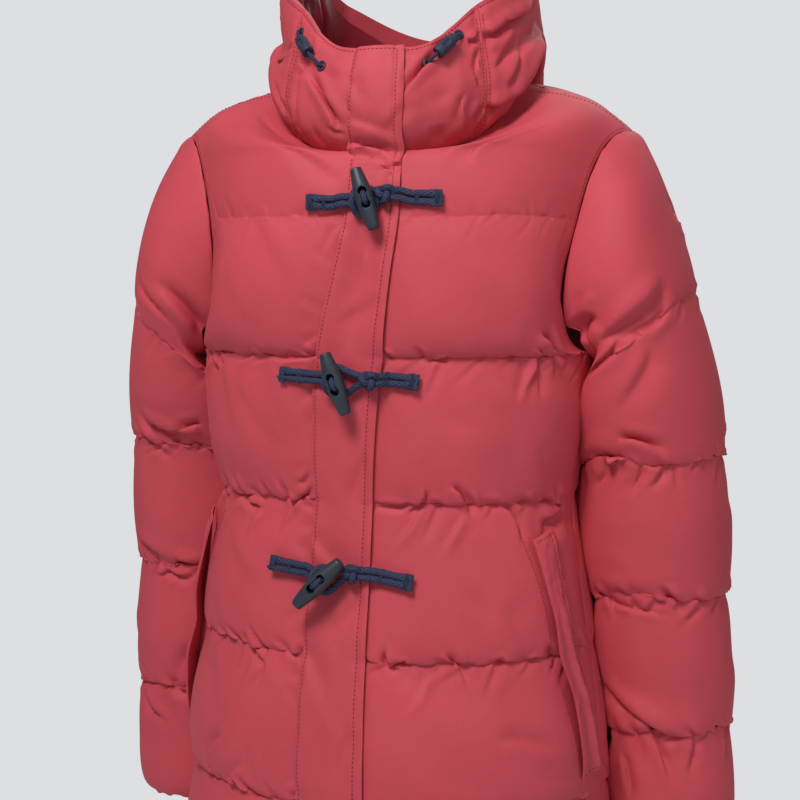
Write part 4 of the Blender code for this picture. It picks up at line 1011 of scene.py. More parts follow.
for panel in panels:
    if panel["name"] == "front_right":
        # small creases beside the flap's sewn edge
        rng = np.random.default_rng(9)
        for place in np.arange(0.9, 6.9, 0.16):
            fold(panel, place + rng.uniform(-0.05, 0.05), 0.027, rng.choice([-26, 24, 40]) + rng.normal(0, 12),
                 rng.uniform(0.010, 0.026), rng.uniform(0.0006, 0.0015), rng.uniform(0.0014, 0.0026), 0.002)
    if panel["name"].startswith("front"):
        clear = ramp(panel["across"] - 0.014, 0.016) ** 2
        panel["lift"] = np.minimum(panel["lift"], 0.0003) * (1 - clear) * 0.3 + panel["lift"] * clear
        panel["slip"] *= clear[..., None]
    height = ((panel["skin"] - panel["fine_seams"]) * panel["fine_outs"]).sum(axis=2)
    most = 0.0024 + 0.0040 * ramp(panel["fine_limits"], FULL_STAND)
    panel["lift"] = np.minimum(np.maximum(panel["lift"], -0.0016 - height), most)
    panel["finished"] = panel["skin"] + panel["fine_outs"] * panel["lift"][..., None] + panel["slip"]
    made = cloth_wall(panel["name"], panel["finished"], panel["seams"] - panel["outs"] * WALL, panel["across"],
                      panel["down"], [shell, satin], "shell", panel["strips"], panel["closed"], math.inf)
    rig.padded(made, fill=0.55)

# ------------------------------------------------------------------- hood
# The pushed-back hood: two chin panels that stand as a collar, two sides and a
# centre strip of the shell over thin wadding, seamed together and turned in at
# the rim; its sides roll over where the slack falls against the shoulders.
HOOD_WALL = 0.0036
HOOD_GAP = 0.0010
HOOD_SHIFT = 0.002
HOOD_TURN = 3.0
HOOD_INSET = 0.12
HOOD_STEPS = 9
# by angle round the neck: nine (outward, height) pairs in mm from the neck seam to the rim
HOOD_PROFILES = {
    0: [(0, -67), (8, -56), (11, -46), (12, -36), (12, -26), (11, -16), (9, -6), (5, 3), (1, 12)],
    25: [(0, -66), (9, -55), (13, -44), (14, -33), (14, -22), (12, -12), (9, -2), (5, 8), (0, 17)],
    50: [(0, -56.5), (10, -46), (15, -34), (16, -20), (14, -5), (10, 10), (8, 24), (5, 38), (2, 50)],
    70: [(0, -35.5), (10, -26), (18, -17), (21, -5), (18, 8), (11, 17), (11, 34), (10, 52), (7, 69)],
    90: [(0, 0), (8, 9), (18, 14), (24, 20), (21, 28), (13, 34), (16, 53), (17, 74), (13, 94)],
    120: [(0, 3), (10, 11), (23, 14), (32, 18), (34, 27), (30, 40), (30, 62), (27, 85), (22, 105)],
    150: [(0, 9), (27, 3), (49, -32), (62, -66), (76, -78), (84, -58), (84, -20), (78, 30), (68, 78)],
    180: [(0, 12), (29, -11), (48, -69), (60, -128), (80, -156), (104, -134), (116, -76), (114, -14), (104, 50)],
}
for angle, same in ((-25, 25), (210, 150)):
    HOOD_PROFILES[angle] = HOOD_PROFILES[same]
HOOD_ANGLES = sorted(HOOD_PROFILES)
HOOD_PLACES = [k / HOOD_STEPS for k in range(8 * HOOD_STEPS + 1)]
# piece: first and last angle, columns
HOOD_PIECES = {
    "chin_panel_right": (-50, 0, 44), "chin_panel_left": (0, 50, 44), "hood_side_right": (-146, -50, 74),
    "hood_side_left": (50, 146, 74), "hood_centre": (146, 214, 56)}
# place, share across, heading (deg, 0 along the neck, 90 up), length, depth, width, bend (mm)
HOOD_FOLDS = {
    "chin_panel_right": [
        (2.1, 0.66, 125, 52, 5.6, 2.2, 4), (2.3, 0.58, 122, 36, 2.6, 1.8, 2), (1.5, 0.62, -22, 14, 2.2, 1.6, 0),
        (4.4, 0.22, -98, 32, 3, 2.4, 3), (5.1, 0.2, 176, 14, 4.8, 2.6, 0), (1.2, 0.14, 70, 24, 1.6, 2.6, 3),
        (0.5, 0.4, 84, 20, 1.4, 2.2, -2), (7.2, 0.3, -86, 18, 1.2, 2, 2)],
    "chin_panel_left": [
        (6.3, 0.48, -139, 44, 5, 2.2, 3), (7.4, 0.56, -131, 40, 2.8, 2, 3), (2.0, 0.97, -130, 20, 3.2, 2, 1),
        (3.0, 0.74, -103, 24, 2, 2.2, 2), (6.2, 0.86, 4, 14, 4.4, 2.4, 0), (5.2, 0.93, -110, 20, 2.2, 1.8, 2),
        (0.4, 0.84, 82, 24, 1.6, 2.2, -3), (3.6, 0.9, 100, 18, 1.6, 1.8, 2)],
    "hood_side_right": [
        (4.4, 0.74, 14, 44, 6.2, 3, 2), (2.0, 0.55, 0, 60, 5, 3.6, 0), (2.9, 0.93, -140, 36, 3, 2.4, 3),
        (6.2, 0.66, -158, 60, 3.8, 3.4, 8), (3.3, 0.4, 190, 60, 3.4, 3.6, 6), (5.9, 0.24, 160, 50, 3.4, 3, -6),
        (5.4, 0.96, -120, 30, 2.6, 2, 3)],
    "hood_side_left": [
        (6.0, 0.02, 10, 40, 6.6, 3, 0), (6.5, 0.15, -12, 60, 5.8, 3.2, 4), (1.9, 0.01, 2, 120, 6.4, 3.8, 0),
        (3.0, 0.1, 40, 40, 2.6, 3, 4), (4.2, 0.05, 34, 46, 2.2, 3.4, 4), (7.1, 0.3, -20, 50, 3.6, 2.6, 4),
        (3.4, 0.5, -6, 64, 3.4, 3.6, -6), (5.6, 0.66, 18, 52, 3.4, 3.2, 5)],
    "hood_centre": [
        (1.6, 0.2, 12, 70, 4.2, 4, 8), (2.8, 0.78, 172, 64, 3.8, 3.8, -8), (5.4, 0.34, 64, 60, 3.4, 3.6, 9),
        (6.3, 0.7, 120, 50, 3, 3.4, -6)],
}


def neck_polygon(w):
    """Neck seam on the chords of the body panels' rows."""
    marks = set()
    for q in TOP_PLACES + [1.0]:
        t = rise_of(q)
        if t >= FRONT_NECK_AT:
            marks.add(round(90.0 * (t - FRONT_NECK_AT) / (1 - FRONT_NECK_AT), 4))
        if t >= BACK_NECK_AT - 0.0001:
            marks.add(round(180.0 - 90.0 * (t - BACK_NECK_AT) / (1 - BACK_NECK_AT), 4))
    marks = sorted(marks)
    a = abs(w)
    side = -1 if w < 0 else 1
    for lo, hi in zip(marks, marks[1:]):
        if lo - 0.01 <= a <= hi + 0.01:
            return turned(neckline(side * lo)).lerp(turned(neckline(side * hi)), (a - lo) / (hi - lo))
    return turned(neckline(w))


def hood_surface(angles, places):
    """Outer hood points for each place (0 neck seam to 8 rim) and angle (deg)."""
    at_place = [[[spline(k, range(9), [pair[c] / 1000 for pair in HOOD_PROFILES[a]]) for a in HOOD_ANGLES]
                 for c in (0, 1)] for k in places]
    feet = [HOOD_PROFILES[a][0][1] / 1000 for a in HOOD_ANGLES]
    points = np.zeros((len(places), len(angles), 3))
    for j, w in enumerate(angles):
        w = (w + 180.0) % 360.0 - 180.0
        base = neck_polygon(w)
        foot = spline(abs(w), HOOD_ANGLES, feet)
        r = math.radians(w + HOOD_TURN)
        for i, k in enumerate(places):
            out, z = (spline(abs(w), HOOD_ANGLES, at_place[i][c]) for c in (0, 1))
            z += (base.z - foot) * (1 - smooth(k, 0.0, 2.0)) + HOOD_GAP - 0.0020 * (1 - smooth(k, 0.0, 0.8))
            shift = HOOD_SHIFT * smooth(k, 1.0, 5.0)
            points[i, j] = (base.x + math.sin(r) * out + shift, base.y - math.cos(r) * out, z)
    return points


def hood_inward(points, angles, places):
    """Unit directions into the hood's wall over its grid, plain at the neck seam."""
    up = np.gradient(points, axis=0)
    n = unit(np.cross(np.gradient(points, axis=1), up))
    r = np.radians(np.array(angles) + HOOD_TURN)
    out = np.stack([np.sin(r), -np.cos(r), np.zeros(len(r))], axis=1)[None, :, :]
    plain = -out * up[..., 2:3]
    plain[..., 2] += (up * out).sum(axis=2)
    plain = unit(plain)
    n *= np.sign((n * plain).sum(axis=2))[..., None]
    near = np.array([smooth(k, 0.0, 1.0) for k in places])[:, None, None]
    return unit(plain * (1 - near) + n * near)


hood = {}
for number, (name, (first, last, cols)) in enumerate(HOOD_PIECES.items()):
    rng = np.random.default_rng(300 + number)
    angles = [first + HOOD_INSET + (last - first - 2 * HOOD_INSET) * c / cols for c in range(cols + 1)]
    flat = hood_surface(angles, HOOD_PLACES)
    inwards = hood_inward(flat, angles, HOOD_PLACES)
    across, down = arcs(flat)
    piece = with_folds(flat, across, down, HOOD_STEPS, angles=angles, outs=-inwards)
    for place, share, heading, *sizes in HOOD_FOLDS[name]:
        fold(piece, place, share * across[int(place * HOOD_STEPS), -1], heading, *(v / 1000 for v in sizes), 0.9)
    edge = np.minimum(across, across[:, -1:] - across)
    rise = down[-1:] - down
    plump = 0.0016 * (1 - np.exp(-edge / 0.010)) - 0.0007 * ridge(edge - 0.004, 0.0022)
    plump -= 0.0005 * ridge(rise - 0.0045, 0.0016)
    loose = wrinkle_noise(rng, *across.shape, 9, 8) * 0.0007
    loose += wrinkle_noise(rng, *across.shape, 4, 3) * 0.00025 * np.exp(-edge / 0.016)
    base = ramp(down, 0.010)
    lift = (piece["lift"] * np.maximum(ramp(edge, 0.006), 0.15) + plump + loose * ramp(edge, 0.003)) * base
    slip = piece["slip"] * (ramp(edge, 0.010) * base * ramp(rise, 0.008))[..., None]
    piece["outer"] = flat - inwards * lift[..., None] + slip
    hood[name] = piece
    made = cloth_wall(name, piece["outer"], flat + inwards * HOOD_WALL, across, down, [shell], "shell")
    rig.padded(made, fill=0.25)

# ------------------------------------------------------------ hood lining
# A thin deep-red satin sewn in at the neck and the rim; it is cut full, so it
# bunches in shiny folds inside the hood.
LINING_WALL = 0.0010
LINING_SIZE = (0.62, 0.25)
LINING_AREA = 0.118
lining_angles = [2.0 + 356.0 * c / 240 for c in range(241)]
lining_places = [0.3 + 7.4 * k / 56 for k in range(57)]
flat = hood_surface(lining_angles, lining_places)
inwards = hood_inward(flat, lining_angles, lining_places)
across, down = arcs(flat)
rng = np.random.default_rng(41)
slack = 0.0032 * np.abs(wrinkle_noise(rng, *across.shape, 16, 7))
slack += 0.0016 * np.abs(wrinkle_noise(rng, *across.shape, 7, 4))
slack += 0.0006 * wrinkle_noise(rng, *across.shape, 3, 3)
slack = np.maximum(slack, 0) * ramp(np.minimum(down, down[-1:] - down), 0.020)
slack *= ramp(np.minimum(across, across[:, -1:] - across), 0.03)
top = flat + inwards * (HOOD_WALL + 0.0014)
made = cloth_wall("hood_lining", top + inwards * slack[..., None], top + inwards * (LINING_WALL + slack)[..., None],
                  across, down, [satin], "lining")
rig.sheet(made, flat=LINING_SIZE, held="gathered", rests_on=["hood_side_left", "hood_side_right", "hood_centre"],
         area=LINING_AREA)

# ------------------------------------------------------------- front flap
# A flat strip of the shell over thin padding, sewn down along the wearer's right
# and free along the wearer's left, with a row of topstitching by each long edge.
FLAP_WALL = 0.0024
FLAP_LIFT = 0.0009
FLAP_SIZE = (0.050, 0.822)
FLAP_COLS = 32
# radius of the hood's rim where the flap bends round it
FLAP_NECK_R = 0.118
FLAP_SEWN_IN, FLAP_FREE_IN = 0.0026, 0.0068
# rows over which the flap bends from the hood to the fronts
NECK_BEND = slice(29, 45)
STITCH_PITCH = 0.0034
STITCH_LENGTH = 0.0026
THREAD_D = 0.00080
# way down, way across (both mm), heading (deg), length, depth, width, bend (mm)
FLAP_FOLDS = [
    (56, 3, 16, 50, 1.6, 3, 4), (78, 3, 12, 48, 3.2, 2.2, 4), (90, 1, 4, 36, 1.8, 2, 5),
    (96, 48, 172, 22, 2.6, 1.8, -2), (103, 47, 160, 18, 2, 1.6, 1), (30, 4, 60, 30, 1.4, 4, 3),
    (50, 46, 128, 30, 1.5, 4, -3), (150, 4, 38, 44, 1.4, 4.6, 4), (205, 44, 140, 40, 1.2, 5, 3),
    (262, 2, 52, 46, 1.6, 4.4, 6), (330, 46, 118, 46, 1.4, 5, -5), (392, 3, 40, 44, 1.8, 4, 4),
    (440, 47, 128, 40, 1.5, 4.6, 3), (476, 2, 56, 50, 1.8, 4.2, 6), (540, 46, 110, 44, 1.4, 4.8, -4),
    (590, 4, 44, 40, 1.6, 4.4, 4), (660, 46, 132, 42, 1.5, 4.6, 3), (730, 4, 50, 44, 1.5, 4.6, 5),
]


def front_skin(s, q, plump):
    """Outer point of the fronts at distance s from the centre line, and its way out."""
    side = -1 if s < 0 else 1
    p = seam_point(side, abs(s) / (0.232 + 0.013 * smooth(q, 1.6, 2.4)), q, True)
    d = inward(p)
    out = p - d * puff_amount(abs(s) / 0.24, q, plump, p, True)
    return turned(out), (turned(out - d) - turned(out)).normalized()


def on_grid(field, i, j):
    """Value of a grid between its points."""
    i = min(max(i, 0.0), field.shape[0] - 1.001)
    j = min(max(j, 0.0), field.shape[1] - 1.001)
    a, b = int(i), int(j)
    f, g = i - a, j - b
    return ((field[a, b] * (1 - g) + field[a, b + 1] * g) * (1 - f)
            + (field[a + 1, b] * (1 - g) + field[a + 1, b + 1] * g) * f)


def way_along(points):
    """Way along a line of points, and the points, as arrays."""
    points = np.array([tuple(p) for p in points])
    return np.concatenate([[0], np.cumsum(np.linalg.norm(np.diff(points, axis=0), axis=1))]), points


def at_way(at, way, points):
    """Points of a line at one or more ways along it."""
    return np.stack([np.interp(at, way, points[:, c]) for c in range(3)], axis=-1)


def tube_faces(first, rings, sides):
    """Faces of a run of rings of points, closed at both ends."""
    faces = [(first + i * sides + c, first + i * sides + d, first + (i + 1) * sides + d, first + (i + 1) * sides + c)
             for i in range(rings - 1) for c in range(sides) for d in [(c + 1) % sides]]
    last = first + (rings - 1) * sides
    return faces + [tuple(reversed(range(first, first + sides))), tuple(range(last, last + sides))]


def topstitching(name, lines):
    """Rows of thread stitches; each line is its points on the cloth and their ways out."""
    verts, faces = [], []
    for points, outs in lines:
        way, points = way_along(points)
        for k in range(int(way[-1] / STITCH_PITCH)):
            mid = (k + 0.5) * STITCH_PITCH
            at = at_way(mid + np.array((-0.5, 0.0, 0.5)) * STITCH_LENGTH, way, points)
            n = at_way(mid, way, outs)
            run = at[2] - at[0]
            run /= np.linalg.norm(run)
            n = n - run * np.dot(n, run)
            n /= np.linalg.norm(n)
            wide = np.cross(run, n)
            faces += tube_faces(len(verts), 3, 4)
            for p, rise, r in zip(at, (-0.00020, 0.00034, -0.00020), (0.55, 1.0, 0.55)):
                for c, w in ((0, 1), (1, 0), (0, -1), (-1, 0)):
                    verts.append(p + n * (rise + c * r * THREAD_D / 2) + wide * (w * r * THREAD_D / 2))
    piece = new_mesh(name, verts, faces)
    piece.data.materials.append(thread)
    for face in piece.data.polygons:
        face.use_smooth = True
    finished(piece, "shell")


def grid_line(outer, outs, way):
    """Points along a path of (row, column) places on a grid, and the ways out there."""
    places = []
    for (i, j), (m, n) in zip(way, way[1:]):
        steps = max(2, int(max(abs(m - i), abs(n - j))))
        places += [(i + (m - i) * t / steps, j + (n - j) * t / steps) for t in range(steps)]
    places.append(way[-1])
    return tuple(np.array([on_grid(field, *p) for p in places]) for field in (outer, outs))


def sewing_thread(name, dark, light, twists):
    """Spun polyester thread, a little shinier than the cloth, in two given tones; where these are darker than the piece
    it sews, they carry painted shade.
    """
    made, tree, shader = new_material(name, {"Roughness": 0.5})
    solid = add_node(tree, "ShaderNodeTexCoord")
    twist = add_node(tree, "ShaderNodeTexNoise", {"Scale": twists, "Detail": 1.0}, Vector=solid.outputs["Object"])
    add_node(tree, "ShaderNodeValToRGB", {"tones": (dark, light)}, shader.inputs["Base Color"], Fac=twist)
    return made


# the shell's thread is drawn far darker than the shell: painted shade of the needle holes and of the stitches' own
# shadows, over thread dyed to the cloth
thread = sewing_thread("spun polyester thread", "#6E1523", "#9A2C3B", 900.0)

flap_s = np.linspace(-FLAP_SIZE[0] / 2, FLAP_SIZE[0] / 2, FLAP_COLS + 1)
rim_places = [0.7 + 7.3 * k / 36 for k in range(37)]
rim_angles = [s / FLAP_NECK_R * 57.3 for s in flap_s]
rim = hood_surface(rim_angles, rim_places)
rim_outs = -hood_inward(rim, rim_angles, rim_places)
flap_q = [0.735 + 0.265 * k / 21 for k in range(21)]
flap_q += [1 + k / 44 for k in range(44)] + [2 + k / 45 for k in range(226)]
fronts, front_outs = (np.zeros((len(flap_q), len(flap_s), 3)) for _ in range(2))
for i, q in enumerate(flap_q):
    within = q - math.floor(q)
    plump = puff_share(q) if q < 1 or within == 0 else max(puff_share(q), roll(within))
    for j, s in enumerate(flap_s):
        fronts[i, j], n = front_skin(s, q, 0.85 * plump + 0.10)
        front_outs[i, j] = Vector((0, -1, 0.1)).normalized().lerp(n, smooth(q, 0.74, 0.95)).normalized()
flat = np.concatenate([rim[::-1] + rim_outs[::-1] * 0.0014, fronts])
outs = np.concatenate([rim_outs[::-1], front_outs])
for _ in range(6):
    for field in (flat, outs):
        field[NECK_BEND] = evened(field[NECK_BEND])
outs = unit(outs)
across, down = arcs(flat)
flap = with_folds(flat, across, down, 1)
for y, x, heading, *sizes in FLAP_FOLDS:
    fold(flap, int(np.searchsorted(down[:, FLAP_COLS // 2], y / 1000)), x / 1000, heading,
         *(v / 1000 for v in sizes), 0.6)
rng = np.random.default_rng(5)
free = across[:, -1:] - across
edge = np.minimum(across, free)
sewn = 0.0009 * (ridge(across - FLAP_SEWN_IN, 0.0012) + ridge(free - FLAP_FREE_IN, 0.0012))
wall = FLAP_WALL * (0.50 + 0.50 * (1 - np.exp(-free / 0.0022))) * (1 - 0.9 * np.exp(-across / 0.0022)) - sewn
ripple = 0.00035 * wrinkle_noise(rng, *across.shape, 7, 7)
ripple += 0.0002 * wrinkle_noise(rng, *across.shape, 2.5, 3) * np.exp(-edge / 0.006)
lifted = FLAP_LIFT + 0.0011 * np.abs(wrinkle_noise(rng, *across.shape, 26, 40)) * np.exp(-free / 0.009)
lifted -= 0.0011 * np.exp(-across / 0.005)
under = flat + outs * (lifted + flap["lift"] * 0.8)[..., None]
over = flat + outs * (lifted + wall + ripple + flap["lift"])[..., None]
over += flap["slip"] * ramp(edge, 0.006)[..., None]
made = cloth_wall("front_flap", over, under, across, down, [shell], "shell")
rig.sheet(made, flat=FLAP_SIZE, held="hung", rests_on=["front_right", "front_left"])
left_col = FLAP_COLS * FLAP_SEWN_IN / FLAP_SIZE[0]
right_col = FLAP_COLS * (1 - FLAP_FREE_IN / FLAP_SIZE[0])
last = len(flat) - 1
topstitching("front_flap_stitching", [grid_line(over, outs, way) for way in (
    [(1.5, left_col), (last, left_col)], [(1.5, right_col), (last, right_col)], [(1.5, left_col), (1.5, right_col)])])

# ----------------------------------------------------------- pocket welts
# A slanted strip of doubled shell over each pocket opening, stitched down with two
# rows along its outer edge and one across each end; the inner edge gapes and rolls.
WELT_TOP = (62.0, -0.367)
WELT_FOOT = (78.0, -0.556)
WELT_WIDTH = 0.028
WELT_BODY_R = 0.155
WELT_WALL = 0.0024
WELT_SIZE = (0.030, 0.192)
WELT_ROWS, WELT_COLS = 110, 25
WELT_SEAMS_IN = (0.0022, 0.0068)


def pocket_line(along):
    """Angle (deg) and height of the pocket's line, along 0 top to 1 foot."""
    return [top + (foot - top) * along for top, foot in zip(WELT_TOP, WELT_FOOT)]


def welt_point(side, along, across, lift):
    """Point over the body under the welt: along 0 top to 1 foot, across 0 to 1."""
    theta, z = pocket_line(along)
    theta += (across - 0.5) * math.degrees(WELT_WIDTH / WELT_BODY_R)
    z += (across - 0.5) * 0.008
    q = row_at(z)
    u = theta / 90.0
    p = seam_point(side, u, q, True)
    amount = BODY_PUFF * (0.45 + 0.55 * puff_share(q)) * flat_side(u, q) + 0.0006 + lift
    return np.array(turned(p - inward(p) * amount))


for number, (side, label) in enumerate(((-1, "right"), (1, "left"))):
    rng = np.random.default_rng(600 + number)
    flat, up = (np.array([[welt_point(side, a, c, lift) for c in np.arange(WELT_COLS) / (WELT_COLS - 1)]
                          for a in np.arange(WELT_ROWS) / (WELT_ROWS - 1)]) for lift in (0.0, 0.001))
    up = unit(up - flat)
    for _ in range(10):
        flat = evened(flat)
    across, down = arcs(flat)
    share = down / down[-1:]
    outer = across[:, -1:] - across
    # the inner edge stands open most halfway down, and its lip rolls out
    gape = 0.0058 * np.sin(np.pi * np.clip(share, 0, 1)) ** 0.8 * np.exp(-across / 0.012)
    bulge = 0.0046 * ridge(across - 0.010 - 0.008 * share, 0.0042) * np.clip(share * 3 - 0.6, 0, 1)
    crease = 0.0060 * ridge(across - 0.0175 - 0.004 * share, 0.0018) * np.clip(share * 4 - 1.0, 0, 1)
    crease *= np.clip((1 - share) * 8, 0, 1)
    ends = np.minimum(down, down[-1:] - down)
    sewn = 0.0006 * (sum(ridge(outer - gap, 0.0010) for gap in WELT_SEAMS_IN) + ridge(ends - 0.0026, 0.0011))
    edge = np.minimum(np.minimum(across, outer), ends)
    wall = WELT_WALL * (0.55 + 0.45 * (1 - np.exp(-edge / 0.0018)))
    loose = 0.0004 * wrinkle_noise(rng, *across.shape, 8, 6) + 0.00022 * wrinkle_noise(rng, *across.shape, 3, 4)
    low = flat + up * (gape * 0.9 - 0.0004 * np.exp(-outer / 0.004))[..., None]
    high = flat + up * (gape + wall + bulge - crease - sewn + loose)[..., None]
    made = cloth_wall("pocket_welt_" + label, high, low, across, down, [shell], "shell")
    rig.sheet(made, flat=WELT_SIZE, held="hung", rests_on=["front_" + label])
    near, far = ((1 - gap / across[0, -1]) * (WELT_COLS - 1) for gap in WELT_SEAMS_IN)
    top, foot = 1.5, WELT_ROWS - 2.5
    topstitching("pocket_welt_%s_stitching" % label, [grid_line(high, up, way) for way in (
        [(top, near), (foot, near)], [(top, far), (foot, far)], [(top, 1), (top, near)], [(foot, 1), (foot, near)])])

# --------------------------------------------------- toggles and their cords
# Three duffle toggles of moulded plastic, each held by a doubled braided cord that
# runs up one hole and down the other; the loops on the other front slip over them
# and are tied in a flat knot. All cord ends are fused, flared and sewn down.
CORD_D = 0.0052
CORD_R = CORD_D / 2
STRAND_GAP = CORD_R + 0.0002
CORD_LOW = CORD_R + 0.0006
KNOT_LOW = 0.0064
BRAID_SIDES = 16
BRAID_STEP = 0.0009
BRAID_PICKS = 14 / 0.030
TACK_THREADS = 7
TACK_STEPS = 12
TACK_THREAD_R = 0.00034
TOGGLE_LENGTH = 0.050
TOGGLE_MID_D = 0.0145
TOGGLE_END_D = 0.0085
TOGGLE_HOLE_D = 0.0072
TOGGLE_HOLE_STEP = 0.0107
# number, toggle (s, z), lean (deg), height over the flap, cord end, loop end, knot
TOGGLES = [
    (1, (-0.0055, -0.110), 17.6, 0.0138, (-0.060, -0.109), (0.0645, -0.107), (0.0150, -0.105)),
    (2, (-0.003, -0.247), 19.0, 0.0138, (-0.052, -0.2436), (0.053, -0.2474), (0.0200, -0.245)),
    (3, (-0.0095, -0.405), -45.0, 0.0193, (-0.0555, -0.394), (0.0575, -0.401), (0.0150, -0.396)),
]
# a strand's way up to its hole in mm: behind the hole, share of the hole's offset, over the cloth
STRAND_RISE = [(5.2, 0.9, 0.1), (1.8, 0.98, 1.2), (0, 1, 4.4)]
# the loop's way behind the barrel in mm: sideways, upward, over the cloth
LOOP_BEND = [(5.75, 8.8, 1.6), (-1, 11.5, 0), (-7, 9.6, 1.4), (-9.6, 3.4, 6.4),
             (-9.6, -3.4, 6.4), (-6.8, -9.4, 2.2), (-1, -11.5, 0), (5.75, -8.8, 1.6)]


def flat_share(q):
    """Share of the puff under a cord, which presses the cloth's ups and downs flatter."""
    return puff_share(q) if q < 1 else 0.25 * puff_share(q) + 0.75 * roll(q - math.floor(q))


def surface(s, z, c):
    """Point c above the coat's front, over the flap where it lies, and the way out."""
    if z >= ARMPIT_Z:
        lo, hi = 0.77, 2.0
        for _ in range(30):
            q = (lo + hi) / 2
            lo, hi = (q, hi) if centre_edge(rise_of(q), True).z > z else (lo, q)
    else:
        q = row_at(z)
    p, d = front_skin(s, q, flat_share(q))
    right, left, above, below = (front_skin(s + x, r, flat_share(r))[0] for x, r in (
        (-0.006, q), (0.006, q), (0, max(q - 0.06, 0.74)), (0, q + 0.06)))
    n = (below - above).cross(left - right).normalized()
    if n.dot(d) < 0:
        n = -n
    over = smooth(FLAP_SIZE[0] / 2 + 0.005 - abs(s), -0.004, 0.003)
    return p + d * over * (FLAP_LIFT + FLAP_WALL) + n * c, n


def smooth_path(points, steps):
    """Smooth curve through the points."""
    out = []
    pts = [points[0] * 2 - points[1]] + points + [points[-1] * 2 - points[-2]]
    for a, b, c, d in zip(pts, pts[1:], pts[2:], pts[3:]):
        for t in (k / steps for k in range(steps)):
            out.append(0.5 * (2 * b + (c - a) * t + (2 * a - 5 * b + 4 * c - d) * t * t
                              + (3 * b - a - 3 * c + d) * t ** 3))
    return out + [points[-1]]


def cord_line(end, target, offset, count):
    """Straight run of a strand over the surface, offset to one side of its line."""
    run = Vector((target[0] - end[0], target[1] - end[1]))
    aside = Vector((-run.y, run.x)).normalized() * offset
    shares = [i / (count - 1) for i in range(count)]
    return [surface(end[0] + run.x * t + aside.x, end[1] + run.y * t + aside.y, CORD_LOW)[0] for t in shares]


def braided(name, path, radius, normal, node, flare=0.0):
    """Braided cord along a path, with a map in turns; its two ends may be pressed flat."""
    way, points = way_along(path)
    steps = int(way[-1] / BRAID_STEP)
    at = np.linspace(0, way[-1], steps + 1)
    points = at_way(at, way, points)
    for _ in range(2):
        points = evened(points)
    verts = []
    ref = Vector(normal)
    for i, point in enumerate(points):
        d = (Vector(points[min(i + 1, steps)]) - Vector(points[max(i - 1, 0)])).normalized()
        ref = (ref - d * ref.dot(d)).normalized()
        other = d.cross(ref)
        end = min(at[i], way[-1] - at[i])
        press = flare * (1 - smooth(end, 0.0060, 0.0125))
        tip = 0.92 + 0.08 * smooth(end, 0.0, 0.0008)
        phase = BRAID_PICKS * 2 * math.pi * at[i]
        for k in range(BRAID_SIDES):
            t = 2 * math.pi * k / BRAID_SIDES
            lobe = 1 + 0.045 * math.sin(phase + 4 * t) * math.sin(phase - 4 * t)
            high = radius * lobe * (0.94 - 0.40 * press) * tip
            broad = radius * lobe * (1.06 + 0.26 * press)
            verts.append(Vector(point) + ref * math.cos(t) * high + other * math.sin(t) * broad)
    piece = new_mesh(name, verts, tube_faces(0, steps + 1, BRAID_SIDES))
    mesh = piece.data
    braid = mesh.uv_layers.new(name="braid")
    for face in mesh.polygons:
        face.use_smooth = face.index < steps * BRAID_SIDES
        for corner in face.loop_indices:
            ring, turn = divmod(mesh.loops[corner].vertex_index, BRAID_SIDES)
            if face.use_smooth and face.index % BRAID_SIDES == BRAID_SIDES - 1 and turn == 0:
                turn = BRAID_SIDES
            braid.data[corner].uv = (turn / BRAID_SIDES, at[ring] / (2 * math.pi * radius))
    mesh.materials.append(braid_cord)
    return finished(piece, "cord", node), [tuple(p) for p in points]


# braided polyester cord: two sets of yarn bundles crossing on the slant, matte; its colour is painted shade, near black
# in the grooves between the bundles and navy on their crowns, with a random fuzz tone of the navy yarn
braid_cord, tree, shader = new_material("braided polyester cord", {
    "Roughness": 0.72, "Sheen Weight": 0.12, "Sheen Roughness": 0.4, "Sheen Tint": linear("#4A577C")})
turns = add_node(tree, "ShaderNodeUVMap", {"uv_map": "braid"})
sets = []
for lean in (1.0, -1.0):
    slanted = add_node(tree, "ShaderNodeVectorMath", {"operation": "DOT_PRODUCT", 1: (6 * lean, 3.4, 0.0)}, i0=turns)
    wave = add_node(tree, "ShaderNodeMath", {"operation": "MULTIPLY", 1: 2 * math.pi}, i0=slanted.outputs["Value"])
    sets.append(add_node(tree, "ShaderNodeMath", {"operation": "SINE"}, i0=wave))
over = add_node(tree, "ShaderNodeMath", {"operation": "MAXIMUM"}, i0=sets[0], i1=sets[1])
solid = add_node(tree, "ShaderNodeTexCoord")
fuzz = add_node(tree, "ShaderNodeTexNoise", {"Scale": 700.0, "Detail": 3.0}, Vector=solid.outputs["Object"])
yarn = add_node(tree, "ShaderNodeMath", {"operation": "MULTIPLY_ADD", 1: 0.8}, i0=fuzz, i2=over)
depth = add_node(tree, "ShaderNodeMapRange", {"From Min": -0.8, "From Max": 1.8}, Value=yarn)
# painted shade: the braid's height, lowest in the grooves between bundles, is coloured from near black up to the yarn's
# navy
add_node(tree, "ShaderNodeValToRGB", {"tones": ("#080C17", "#2F3B60")}, shader.inputs["Base Color"], Fac=depth)
add_node(tree, "ShaderNodeBump", {"Strength": 0.6, "Distance": 0.0005}, shader.inputs["Normal"], Height=yarn)


